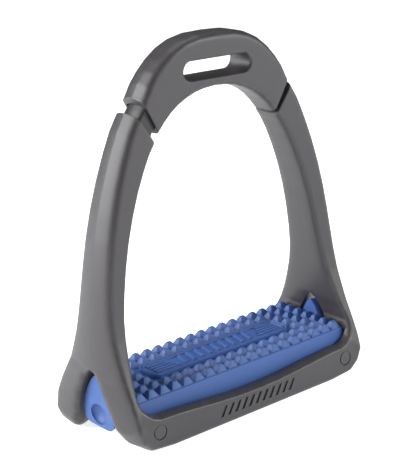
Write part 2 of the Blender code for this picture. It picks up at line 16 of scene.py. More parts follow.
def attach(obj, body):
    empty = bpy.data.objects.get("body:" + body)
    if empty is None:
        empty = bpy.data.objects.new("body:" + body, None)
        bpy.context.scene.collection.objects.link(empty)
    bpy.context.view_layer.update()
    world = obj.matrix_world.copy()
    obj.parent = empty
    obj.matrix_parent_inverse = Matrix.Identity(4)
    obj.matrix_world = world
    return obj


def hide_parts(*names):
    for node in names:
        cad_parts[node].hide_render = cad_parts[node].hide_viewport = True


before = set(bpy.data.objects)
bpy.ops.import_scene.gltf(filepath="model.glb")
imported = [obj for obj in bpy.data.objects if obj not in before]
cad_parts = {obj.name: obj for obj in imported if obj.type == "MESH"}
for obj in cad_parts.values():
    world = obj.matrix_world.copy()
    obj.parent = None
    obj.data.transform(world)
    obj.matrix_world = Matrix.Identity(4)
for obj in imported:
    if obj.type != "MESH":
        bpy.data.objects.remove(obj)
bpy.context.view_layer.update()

LOG = logging.getLogger("stirrup")
MM = 0.001
GAP = 0.35
EDGE_ATTRIBUTE = "edge"
PIVOT_Z = 106.0
REST_ROCK_DEG = 1.8
SMOOTH_LEVELS = 3
Point = tuple[float, float]
Row = list[bmesh.types.BMVert]


class Side(Enum):
    """The two sides of the iron, seen from the front."""

    LEFT = -1
    RIGHT = 1

    @property
    def label(self) -> str:
        """The side's name in piece names."""
        return self.name.lower()


class Body(Enum):
    """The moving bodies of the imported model."""

    LOWER = "lower"
    CROWN = "crown"


class Slot(Enum):
    """The names of the record's material slots."""

    CHARCOAL = "charcoal_polymer"
    NECK = "neck_polymer"
    STEEL = "pin_steel"
    BLUE = "blue_rubber"


# ------------------------------------------------------------------ mesh helpers

def steps(start: float, end: float, count: int) -> list[float]:
    """Evenly spaced values from start to end, both included."""
    return [start + (end - start) * i / count for i in range(count + 1)]


def polar(radius: float, angle_deg: float) -> Point:
    """A point (x, z) at a radius and an angle about the rock axis, relative to that axis."""
    angle = math.radians(angle_deg)
    return radius * math.cos(angle), radius * math.sin(angle)


def interpolate(table: Sequence[Point], value: float) -> float:
    """Read a table of (key, value) pairs along straight lines.

    Args:
        table: Pairs in rising order of their key.
        value: The key to read at.

    Returns:
        The value there, held level past both ends.
    """
    for (low_key, low), (high_key, high) in zip(table, table[1:]):
        if value <= high_key:
            share = max(0.0, (value - low_key) / (high_key - low_key))
            return low + share * (high - low)
    return table[-1][1]


def point_at_radius(start: Point, end: Point, radius: float) -> Vector:
    """The point at a radius from the rock axis, on the line through start and end."""
    a = Vector((start[0], start[1] - PIVOT_Z))
    along = (Vector((end[0], end[1] - PIVOT_Z)) - a).normalized()
    middle = -a.dot(along)
    nearest = a + along * middle
    reach = math.sqrt(max(radius * radius - nearest.length_squared, 0.0))
    found = nearest + along * reach
    return Vector((found.x, 0.0, found.y + PIVOT_Z))


def start_row(bm: bmesh.types.BMesh, points: Iterable[Vector]) -> Row:
    """Make a row of vertices joined by edges, from which a skin is extruded."""
    row = [bm.verts.new(point) for point in points]
    for pair in zip(row, row[1:]):
        bm.edges.new(pair)
    return row


def extrude_row(bm: bmesh.types.BMesh, row: Row, points: Sequence[Vector]) -> Row:
    """Extrude a row's edges and move the new row to its points.

    Args:
        bm: The mesh under construction.
        row: The row to extrude from.
        points: Where the new row's vertices go, in the same order.

    Returns:
        The new row.
    """
    edges = [bm.edges.get(pair) for pair in zip(row, row[1:])]
    made = bmesh.ops.extrude_edge_only(bm, edges=edges)["geom"]
    fresh = {item for item in made if isinstance(item, bmesh.types.BMVert)}
    moved = []
    for old, point in zip(row, points):
        new = next(e.other_vert(old) for e in old.link_edges if e.other_vert(old) in fresh)
        new.co = point
        moved.append(new)
    return moved


def crease(bm: bmesh.types.BMesh, chain: Row, value: float) -> None:
    """Crease the edges between consecutive vertices of a chain."""
    layer = bm.edges.layers.float.get("crease_edge") or bm.edges.layers.float.new("crease_edge")
    for pair in zip(chain, chain[1:]):
        edge = bm.edges.get(pair)
        if edge is not None:
            edge[layer] = value


def mirror_all(bm: bmesh.types.BMesh, axes: str) -> None:
    """Mirror the whole mesh across the planes normal to each axis named, and join the halves."""
    for axis in axes:
        geom = list(bm.verts) + list(bm.edges) + list(bm.faces)
        bmesh.ops.mirror(bm, geom=geom, axis=axis, merge_dist=0.01)
    bmesh.ops.recalc_face_normals(bm, faces=bm.faces)


def slab(bm: bmesh.types.BMesh, outline: Sequence[Vector], shift: Vector) -> list[bmesh.types.BMFace]:
    """Extrude a flat outline into a closed solid.

    Args:
        bm: The mesh to add to.
        outline: Corner points in order.
        shift: From the outline to the far face.

    Returns:
        The near and the far face.
    """
    near = bmesh.ops.contextual_create(bm, geom=[bm.verts.new(point) for point in outline])["faces"][0]
    kept = bmesh.ops.extrude_face_region(bm, geom=[near], use_keep_orig=True)["geom"]
    bmesh.ops.translate(bm, vec=shift, verts=[v for v in kept if isinstance(v, bmesh.types.BMVert)])
    far = next(f for f in kept if isinstance(f, bmesh.types.BMFace))
    return [near, far]


def box(bm: bmesh.types.BMesh, low: Sequence[float], high: Sequence[float]) -> None:
    """Add an upright box between two corners."""
    size = [h - l for l, h in zip(low, high)]
    centre = [(h + l) / 2 for l, h in zip(low, high)]
    bmesh.ops.create_cube(bm, size=1.0, matrix=Matrix.Translation(centre) @ Matrix.Diagonal((*size, 1.0)))


def rod(bm: bmesh.types.BMesh, centre: Point, radius: float, low: float, high: float,
        segments: int = 48) -> None:
    """Add a cylinder along Y through (x, z), between two Y levels."""
    turn = Matrix.Rotation(math.pi / 2, 4, "X")
    place = Matrix.Translation((centre[0], (low + high) / 2, centre[1])) @ turn
    bmesh.ops.create_cone(bm, cap_ends=True, segments=segments, radius1=radius, radius2=radius,
                          depth=high - low, matrix=place)


def bevel_edges(bm: bmesh.types.BMesh, edges: Iterable[bmesh.types.BMEdge], width: float,
                segments: int) -> None:
    """Round edges with a circular bevel."""
    bmesh.ops.bevel(bm, geom=list(edges), offset=width, offset_type="OFFSET", segments=segments,
                    profile=0.5, affect="EDGES", material=-1, clamp_overlap=True)


def sharp_edges(bm: bmesh.types.BMesh, angle_deg: float) -> list[bmesh.types.BMEdge]:
    """The edges whose faces meet at more than an angle."""
    limit = math.radians(angle_deg)
    return [e for e in bm.edges if len(e.link_faces) == 2 and e.calc_face_angle(0.0) > limit]


def link_mesh(name: str, bm: bmesh.types.BMesh) -> bpy.types.Object:
    """Turn a mesh in millimetres into a linked object in metres, with its faces outward."""
    bmesh.ops.scale(bm, vec=(MM, MM, MM), verts=bm.verts)
    bmesh.ops.recalc_face_normals(bm, faces=bm.faces)
    mesh = bpy.data.meshes.new(name)
    bm.to_mesh(mesh)
    bm.free()
    obj = bpy.data.objects.new(name, mesh)
    bpy.context.scene.collection.objects.link(obj)
    return obj


def subdivide(obj: bpy.types.Object, levels: int) -> None:
    """Finish an object with a subdivision surface."""
    mod = obj.modifiers.new("subdivision", "SUBSURF")
    mod.levels = levels
    mod.render_levels = levels


def cut(obj: bpy.types.Object, tool: bmesh.types.BMesh, operation: str = "DIFFERENCE") -> None:
    """Queue an exact Boolean of an object with a tool mesh in millimetres."""
    other = link_mesh(f"{obj.name}_tool", tool)
    other.hide_render = True
    mod = obj.modifiers.new("cut", "BOOLEAN")
    mod.operation = operation
    mod.solver = "EXACT"
    mod.object = other


def bake(obj: bpy.types.Object, smooth_deg: float = 35.0) -> None:
    """Apply an object's modifiers, drop the tools they used and shade it smooth up to an angle.

    Args:
        obj: The object to finish.
        smooth_deg: Faces that meet at more than this keep a hard edge.
    """
    bpy.context.view_layer.update()
    graph = bpy.context.evaluated_depsgraph_get()
    mesh = bpy.data.meshes.new_from_object(obj.evaluated_get(graph))
    tools = [mod.object for mod in obj.modifiers if mod.type == "BOOLEAN"]
    obj.modifiers.clear()
    old = obj.data
    obj.data = mesh
    mesh.name = obj.name
    bpy.data.meshes.remove(old)
    for tool in tools:
        bpy.data.objects.remove(tool, do_unlink=True)
    mesh.shade_smooth()
    mesh.set_sharp_from_angle(angle=math.radians(smooth_deg))


def store_edge_attribute(obj: bpy.types.Object, radius_mm: float) -> None:
    """Keep how sharply the surface turns outward, from 0 to 1, as a vertex attribute.

    Args:
        obj: The finished object.
        radius_mm: The rounding radius that counts as a full edge.
    """
    bm = bmesh.new()
    bm.from_mesh(obj.data)
    turn = []
    for vert in bm.verts:
        bend = sum(e.calc_face_angle_signed(0.0) for e in vert.link_edges)
        length = sum(e.calc_length() for e in vert.link_edges)
        turn.append(bend / length if length else 0.0)
    values = [max(0.0, min(1.0, t * radius_mm * MM * 2.0)) for t in turn]
    for _ in range(2):
        values = [(values[v.index] + sum(values[e.other_vert(v).index] for e in v.link_edges))
                  / (1 + len(v.link_edges)) for v in bm.verts]
    bm.free()
    layer = obj.data.attributes.new(EDGE_ATTRIBUTE, "FLOAT", "POINT")
    layer.data.foreach_set("value", values)


def finish_piece(obj: bpy.types.Object, body: Body, material: bpy.types.Material,
                 nodes: Sequence[str] = (), edge_radius: float = 2.5) -> None:
    """Dress a finished piece, tie it to its body and hide the nodes it stands for.

    Args:
        obj: The finished object, at the origin.
        body: The body it rides on.
        material: Its material.
        nodes: The CAD nodes it replaces.
        edge_radius: The rounding that counts as a full edge, in millimetres.
    """
    obj.data.materials.clear()
    obj.data.materials.append(material)
    store_edge_attribute(obj, edge_radius)
    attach(obj, body.value)
    if nodes:
        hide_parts(*nodes)
    LOG.info("%s: %d faces on %s", obj.name, len(obj.data.polygons), body.value)


# ------------------------------------------------------------------ shader helpers

class NodeSheet:
    """Lays out the nodes of one material or node group."""

    def __init__(self, tree: bpy.types.NodeTree) -> None:
        """Hold the tree to work on."""
        self.tree = tree

    def add(self, kind: str, inputs: dict | None = None, **settings) -> bpy.types.Node:
        """Add a node.

        Args:
            kind: The node's type name.
            inputs: Socket names or numbers to a value or to another node's output.
            **settings: The node's own properties.

        Returns:
            The new node.
        """
        node = self.tree.nodes.new(kind)
        for key, value in settings.items():
            setattr(node, key, value)
        for key, value in (inputs or {}).items():
            if isinstance(value, bpy.types.NodeSocket):
                self.tree.links.new(value, node.inputs[key])
            else:
                node.inputs[key].default_value = value
        return node

    def math(self, operation: str, a, b=0.0, clamp: bool = False) -> bpy.types.NodeSocket:
        """A Math node's output for two numbers or sockets."""
        return self.add("ShaderNodeMath", {0: a, 1: b}, operation=operation, use_clamp=clamp).outputs[0]

    def ramp(self, value, low: float, high: float) -> bpy.types.NodeSocket:
        """A value eased from 0 at low to 1 at high."""
        inputs = {"Value": value, "From Min": low, "From Max": high}
        return self.add("ShaderNodeMapRange", inputs, interpolation_type="SMOOTHSTEP").outputs["Result"]

    def noise(self, vector, scale: float, detail: float = 2.0, rough: float = 0.5) -> bpy.types.NodeSocket:
        """A noise texture's value."""
        inputs = {"Vector": vector, "Scale": scale, "Detail": detail, "Roughness": rough}
        return self.add("ShaderNodeTexNoise", inputs).outputs["Fac"]

    def mix(self, factor, a, b) -> bpy.types.NodeSocket:
        """Two colours mixed by a factor."""
        node = self.add("ShaderNodeMix", data_type="RGBA")
        for index, value in ((0, factor), (6, a), (7, b)):
            if isinstance(value, bpy.types.NodeSocket):
                self.tree.links.new(value, node.inputs[index])
            else:
                node.inputs[index].default_value = value
        return node.outputs[2]


def new_group(name: str, inputs: dict[str, float], outputs: Sequence[str]) -> tuple:
    """Start a shader node group.

    Args:
        name: The group's name.
        inputs: Input names and their default values.
        outputs: Output names.

    Returns:
        The group's tree, its sheet, its input node and its output node.
    """
    tree = bpy.data.node_groups.new(name, "ShaderNodeTree")
    for key, value in inputs.items():
        socket = tree.interface.new_socket(key, in_out="INPUT", socket_type="NodeSocketFloat")
        socket.default_value = value
    for key in outputs:
        tree.interface.new_socket(key, in_out="OUTPUT", socket_type="NodeSocketFloat")
    sheet = NodeSheet(tree)
    return tree, sheet, sheet.add("NodeGroupInput"), sheet.add("NodeGroupOutput")


def moulded_grain_group() -> bpy.types.NodeTree:
    """Fine spark-eroded grain with soft flow clouds: a height and a tone."""
    tree, sheet, source, sink = new_group("moulded_grain", {"Fine": 2600.0, "Coarse": 90.0, "Cloud": 18.0},
                                          ("Height", "Tone"))
    place = sheet.add("ShaderNodeTexCoord").outputs["Object"]
    fine = sheet.noise(place, source.outputs["Fine"], 3.0, 0.6)
    coarse = sheet.noise(place, source.outputs["Coarse"], 3.0, 0.55)
    cloud = sheet.noise(place, source.outputs["Cloud"], 2.0, 0.5)
    height = sheet.math("ADD", sheet.math("MULTIPLY", fine, 0.8), sheet.math("MULTIPLY", coarse, 0.2))
    tone = sheet.math("ADD", sheet.math("MULTIPLY", cloud, 0.6), sheet.math("MULTIPLY", fine, 0.4))
    tree.links.new(height, sink.inputs["Height"])
    tree.links.new(tone, sink.inputs["Tone"])
    return tree


def painted_edge_highlight_group() -> bpy.types.NodeTree:
    """Painted highlight along outward edges: the edge attribute broken up by noise."""
    settings = {"Start": 0.25, "Full": 0.8, "Patch": 240.0}
    tree, sheet, source, sink = new_group("painted_edge_highlight", settings, ("Mask",))
    edge = sheet.add("ShaderNodeAttribute", attribute_name=EDGE_ATTRIBUTE).outputs["Fac"]
    place = sheet.add("ShaderNodeTexCoord").outputs["Object"]
    patch = sheet.noise(place, source.outputs["Patch"], 4.0, 0.6)
    spread = sheet.add("ShaderNodeMapRange", {"Value": edge, "From Min": source.outputs["Start"],
                                              "From Max": source.outputs["Full"]}).outputs["Result"]
    mask = sheet.math("MULTIPLY", spread, sheet.ramp(patch, 0.35, 0.7), clamp=True)
    tree.links.new(mask, sink.inputs["Mask"])
    return tree


def dust_group() -> bpy.types.NodeTree:
    """Fine dust on surfaces that face up."""
    tree, sheet, source, sink = new_group("settled_dust", {"Amount": 0.2, "Patch": 160.0}, ("Mask",))
    normal = sheet.add("ShaderNodeNewGeometry").outputs["Normal"]
    up = sheet.add("ShaderNodeSeparateXYZ", {0: normal}).outputs["Z"]
    place = sheet.add("ShaderNodeTexCoord").outputs["Object"]
    patch = sheet.ramp(sheet.noise(place, source.outputs["Patch"], 5.0, 0.65), 0.35, 0.75)
    mask = sheet.math("MULTIPLY", sheet.math("MULTIPLY", sheet.ramp(up, 0.3, 1.0), patch),
                      source.outputs["Amount"])
    tree.links.new(mask, sink.inputs["Mask"])
    return tree


def parting_line_group() -> bpy.types.NodeTree:
    """A fine raised line where the mould halves meet, on the plane Y = 0."""
    tree, sheet, source, sink = new_group("parting_line", {"Half Width": 0.00016}, ("Height",))
    place = sheet.add("ShaderNodeTexCoord").outputs["Object"]
    across = sheet.math("ABSOLUTE", sheet.add("ShaderNodeSeparateXYZ", {0: place}).outputs["Y"])
    share = sheet.math("DIVIDE", across, source.outputs["Half Width"])
    line = sheet.math("SUBTRACT", 1.0, sheet.ramp(share, 0.4, 1.3))
    tree.links.new(line, sink.inputs["Height"])
    return tree


@dataclass(frozen=True)
class SharedEffects:
    """The node groups that several finishes use."""

    grain: bpy.types.NodeTree
    # the painted highlight along outward edges, shared by the finishes
    edge_highlight: bpy.types.NodeTree
    dust: bpy.types.NodeTree
    parting: bpy.types.NodeTree

    @classmethod
    def build(cls) -> "SharedEffects":
        """Build each group once."""
        return cls(moulded_grain_group(), painted_edge_highlight_group(), dust_group(), parting_line_group())


def new_material(name: str) -> tuple[bpy.types.Material, NodeSheet, bpy.types.Node]:
    """Start a material and return it with its sheet and its Principled node."""
    mat = bpy.data.materials.new(name)
    mat.use_nodes = True
    return mat, NodeSheet(mat.node_tree), mat.node_tree.nodes["Principled BSDF"]


@dataclass(frozen=True)
class PolymerFinish:
    """Fibre-filled moulded polymer with a fine matte grain."""

    name: str
    base: tuple[float, float, float]
    # pale: the colour of the painted edge highlight and of the dust
    pale: tuple[float, float, float]
    roughness: float
    grain_height: float
    fine: float
    parting: bool

    def build(self, effects: SharedEffects) -> bpy.types.Material:
        """Make the material.

        Args:
            effects: The shared node groups.

        Returns:
            The finished material.
        """
        mat, sheet, shader = new_material(self.name)
        grain = sheet.add("ShaderNodeGroup", node_tree=effects.grain)
        grain.inputs["Fine"].default_value = self.fine
        edge_highlight = sheet.add("ShaderNodeGroup", node_tree=effects.edge_highlight)
        dust = sheet.add("ShaderNodeGroup", {}, node_tree=effects.dust)
        tone = sheet.ramp(grain.outputs["Tone"], 0.3, 0.7)
        deep = tuple(c * 0.86 for c in self.base)
        colour = sheet.mix(tone, (*deep, 1.0), (*self.base, 1.0))
        # painted highlight: pale colour mixed in along outward edges
        colour = sheet.mix(sheet.math("MULTIPLY", edge_highlight.outputs["Mask"], 0.35), colour, (*self.pale, 1.0))
        colour = sheet.mix(dust.outputs["Mask"], colour, (*self.pale, 1.0))
        sheet.tree.links.new(colour, shader.inputs["Base Color"])
        rough = sheet.math("ADD", sheet.math("MULTIPLY", tone, 0.08), self.roughness - 0.04)
        rough = sheet.math("SUBTRACT", rough, sheet.math("MULTIPLY", edge_highlight.outputs["Mask"], 0.1), clamp=True)
        sheet.tree.links.new(rough, shader.inputs["Roughness"])
        bump = sheet.add("ShaderNodeBump", {"Height": grain.outputs["Height"], "Strength": self.grain_height,
                                            "Distance": 0.00006})
        normal = bump.outputs["Normal"]
        if self.parting:
            line = sheet.add("ShaderNodeGroup", node_tree=effects.parting)
            normal = sheet.add("ShaderNodeBump", {"Height": line.outputs["Height"], "Strength": 0.5,
                                                  "Distance": 0.0001, "Normal": normal}).outputs["Normal"]
        sheet.tree.links.new(normal, shader.inputs["Normal"])
        return mat


@dataclass(frozen=True)
class RubberFinish:
    """Matte moulded rubber, with a painted highlight that makes it paler along outward edges."""

    name: str
    base: tuple[float, float, float]
    # pale: the colour of the painted edge highlight and of the dust
    pale: tuple[float, float, float]
    roughness: float

    def build(self, effects: SharedEffects) -> bpy.types.Material:
        """Make the material.

        Args:
            effects: The shared node groups.

        Returns:
            The finished material.
        """
        mat, sheet, shader = new_material(self.name)
        grain = sheet.add("ShaderNodeGroup", node_tree=effects.grain)
        grain.inputs["Fine"].default_value = 1800.0
        edge_highlight = sheet.add("ShaderNodeGroup", {"Start": 0.15, "Full": 0.7}, node_tree=effects.edge_highlight)
        dust = sheet.add("ShaderNodeGroup", {"Amount": 0.12}, node_tree=effects.dust)
        tone = sheet.ramp(grain.outputs["Tone"], 0.3, 0.7)
        deep = tuple(c * 0.85 for c in self.base)
        colour = sheet.mix(tone, (*deep, 1.0), (*self.base, 1.0))
        # painted highlight: pale rubber mixed in along outward edges
        colour = sheet.mix(sheet.math("MULTIPLY", edge_highlight.outputs["Mask"], 0.3), colour, (*self.pale, 1.0))
        colour = sheet.mix(dust.outputs["Mask"], colour, (*self.pale, 1.0))
        sheet.tree.links.new(colour, shader.inputs["Base Color"])
        rough = sheet.math("ADD", sheet.math("MULTIPLY", tone, 0.1), self.roughness - 0.05)
        sheet.tree.links.new(rough, shader.inputs["Roughness"])
        bump = sheet.add("ShaderNodeBump", {"Height": grain.outputs["Height"], "Strength": 0.35,
                                            "Distance": 0.00008})
        sheet.tree.links.new(bump.outputs["Normal"], shader.inputs["Normal"])
        return mat


@dataclass(frozen=True)
class SteelFinish:
    """Ground steel pin stock with fine turning marks."""

    name: str = "ground_steel"
    base: tuple[float, float, float] = (0.42, 0.42, 0.43)
    roughness: float = 0.32

    def build(self, effects: SharedEffects) -> bpy.types.Material:
        """Make the material.

        Args:
            effects: The shared node groups.

        Returns:
            The finished material.
        """
        mat, sheet, shader = new_material(self.name)
        shader.inputs["Metallic"].default_value = 1.0
        place = sheet.add("ShaderNodeTexCoord").outputs["Object"]
        stretched = sheet.add("ShaderNodeMapping", {"Vector": place, "Scale": (1.0, 12.0, 1.0)}).outputs[0]
        marks = sheet.noise(stretched, 900.0, 3.0, 0.6)
        edge_highlight = sheet.add("ShaderNodeGroup", node_tree=effects.edge_highlight)
        dark = tuple(c * 0.7 for c in self.base)
        colour = sheet.mix(sheet.ramp(marks, 0.3, 0.7), (*dark, 1.0), (*self.base, 1.0))
        # painted highlight: outward edges lightened towards pale steel
        colour = sheet.mix(edge_highlight.outputs["Mask"], colour, (0.62, 0.62, 0.63, 1.0))
        sheet.tree.links.new(colour, shader.inputs["Base Color"])
        rough = sheet.math("ADD", sheet.math("MULTIPLY", marks, 0.2), self.roughness - 0.1)
        sheet.tree.links.new(rough, shader.inputs["Roughness"])
        bump = sheet.add("ShaderNodeBump", {"Height": marks, "Strength": 0.2, "Distance": 0.00002})
        sheet.tree.links.new(bump.outputs["Normal"], shader.inputs["Normal"])
        return mat


# ------------------------------------------------------------------ limb sections

@dataclass(frozen=True)
class Station:
    """One cross-section of a limb, as its front half."""

    inner: Point
    outer: Point
    depth_in: float
    depth_out: float
    edge_in: float
    edge_out: float
    rise: float = 0.0
    window_in: float = 0.0
    window_out: float = 0.0
    ridge_crease: float = 0.0

    def points(self) -> list[Vector]:
        """Eight points round the front half: inner middle, inner edge, front face, outer edge, ridge."""
        start = Vector((self.inner[0], 0.0, self.inner[1]))
        end = Vector((self.outer[0], 0.0, self.outer[1]))
        across = (end - start).normalized()
        ahead = Vector((0.0, -1.0, 0.0))
        width = (end - start).length
        hold_in = min(2.0 * self.edge_in, 0.45 * width)
        hold_out = min(2.0 * self.edge_out, width - hold_in - 0.4)
        slope = (self.depth_out - self.depth_in) / width
        bulge = self.rise * (1.0 - (self.window_out / self.depth_out) ** 2)
        return [
            start + ahead * self.window_in,
            start + ahead * (self.depth_in - self.edge_in),
            start + across * self.edge_in + ahead * (self.depth_in + slope * self.edge_in),
            start + across * hold_in + ahead * (self.depth_in + slope * hold_in),
            end - across * hold_out + ahead * (self.depth_out - slope * hold_out),
            end - across * self.edge_out + ahead * (self.depth_out - slope * self.edge_out),
            end + ahead * (self.depth_out - self.edge_out),
            end + across * bulge + ahead * self.window_out,
        ]


@dataclass(frozen=True)
class TongueSection:
    """Cross-section of a neck tongue, or of the pocket round it."""

    low: float
    high: float
    half_depth: float
    ridge: float
    corner: float = 0.9

    def grown(self, gap: float) -> "TongueSection":
        """The same section with a gap all round it."""
        return TongueSection(self.low - gap, self.high + gap, self.half_depth + gap, self.ridge + gap,
                             self.corner)

    def layout(self) -> list[Point]:
        """Eight (radius, depth) pairs round the front half, in the order of Station.points."""
        c, d = self.corner, self.half_depth
        return [(self.low, 0.0), (self.low, d - c), (self.low + c, d), (self.low + 2 * c, d),
                (self.high - 2 * c, d), (self.high - c, d), (self.high, d - c), (self.ridge, 0.0)]

    def at_angle(self, angle: float) -> list[Vector]:
        """The eight points on a ray about the rock axis."""
        points = []
        for radius, depth in self.layout():
            x, z = polar(radius, angle)
            points.append(Vector((x, -depth, z + PIVOT_Z)))
        return points

    def on_line(self, inner: Point, outer: Point, sink: float = 0.0) -> list[Vector]:
        """The eight points where a line across the limb meets the section.

        Args:
            inner: The line's inner end.
            outer: The line's outer end.
            sink: How far to move the points about the rock axis, in degrees.

        Returns:
            The points.
        """
        turn = Matrix.Rotation(math.radians(sink), 3, "Y")
        centre = Vector((0.0, 0.0, PIVOT_Z))
        points = []
        for radius, depth in self.layout():
            point = point_at_radius(inner, outer, radius)
            points.append(turn @ (point - centre) + centre + Vector((0.0, -depth, 0.0)))
        return points


HEAD = TongueSection(38.5, 48.0, 5.9, 49.0)
TAIL = TongueSection(40.4, 47.2, 4.8, 47.2)
HEAD_ANGLES = (24.0, 52.8)
TAIL_ANGLES = (11.0, 24.0)
PIN_RADIUS_PLACE = 43.4
TONGUE_PIN_ANGLE = 17.5
STOP_PIN_ANGLE = 45.0
STOP_SLOT_HALF_ANGLE = 6.5


def ring_cutter(angle: float, radius: float, low: float, high: float) -> bmesh.types.BMesh:
    """Round tools on both sides of the neck, along Y at an angle about the rock axis."""
    tool = bmesh.new()
    for side in Side:
        x, z = polar(PIN_RADIUS_PLACE, angle)
        rod(tool, (side.value * x, z + PIVOT_Z), radius, low, high)
    return tool


# ------------------------------------------------------------------ lower frame

SIDE_PROFILE = (
    (0.0, 28.2), (10.0, 28.2), (13.0, 27.7), (16.0, 26.5), (20.0, 24.8), (25.0, 22.4), (30.0, 19.8),
    (35.0, 17.6), (40.0, 15.6), (45.0, 13.8), (50.0, 12.5), (55.0, 11.7), (65.0, 10.7), (75.0, 10.2),
    (85.0, 9.8), (95.0, 9.4), (105.0, 9.0), (115.0, 8.6), (125.0, 8.3), (134.0, 8.0),
)


@dataclass(frozen=True)
class Foot:
    """The part of one half below the arm: leg sections beside the window and the round corner under them."""

    leg: tuple
    corner_out: tuple
    corner: tuple
    lip_crease: float


FRONT_FOOT = Foot(
    leg=(((58.8, 28.4), (65.1, 28.2), 2.7, 3.8, 4.0), ((59.5, 23.9), (65.0, 21.6), 2.8, 6.7, 7.4),
         ((58.9, 20.3), (64.8, 15.6), 2.8, 8.8, 9.9)),
    corner_out=((52.4, 12.0), 12.3),
    corner=((40.0, 10.0, 2.6, 11.2, 11.9), (60.0, 38.0, 1.9, 15.0, 14.6), (80.0, 66.0, 0.8, 19.5, 19.5)),
    lip_crease=0.35,
)
REAR_FOOT = Foot(
    leg=(((58.8, 28.4), (65.7, 28.2), 2.5, 3.8, 4.4), ((59.5, 23.9), (66.6, 21.0), 2.2, 6.7, 8.2),
         ((58.9, 20.3), (67.1, 13.5), 1.9, 8.8, 10.6)),
    corner_out=((61.1, 6.2), 6.2),
    corner=((40.0, 6.0, 1.6, 11.2, 11.6), (60.0, 40.0, 1.2, 12.4, 11.0), (80.0, 70.0, 0.5, 16.0, 12.4)),
    lip_crease=0.35,
)


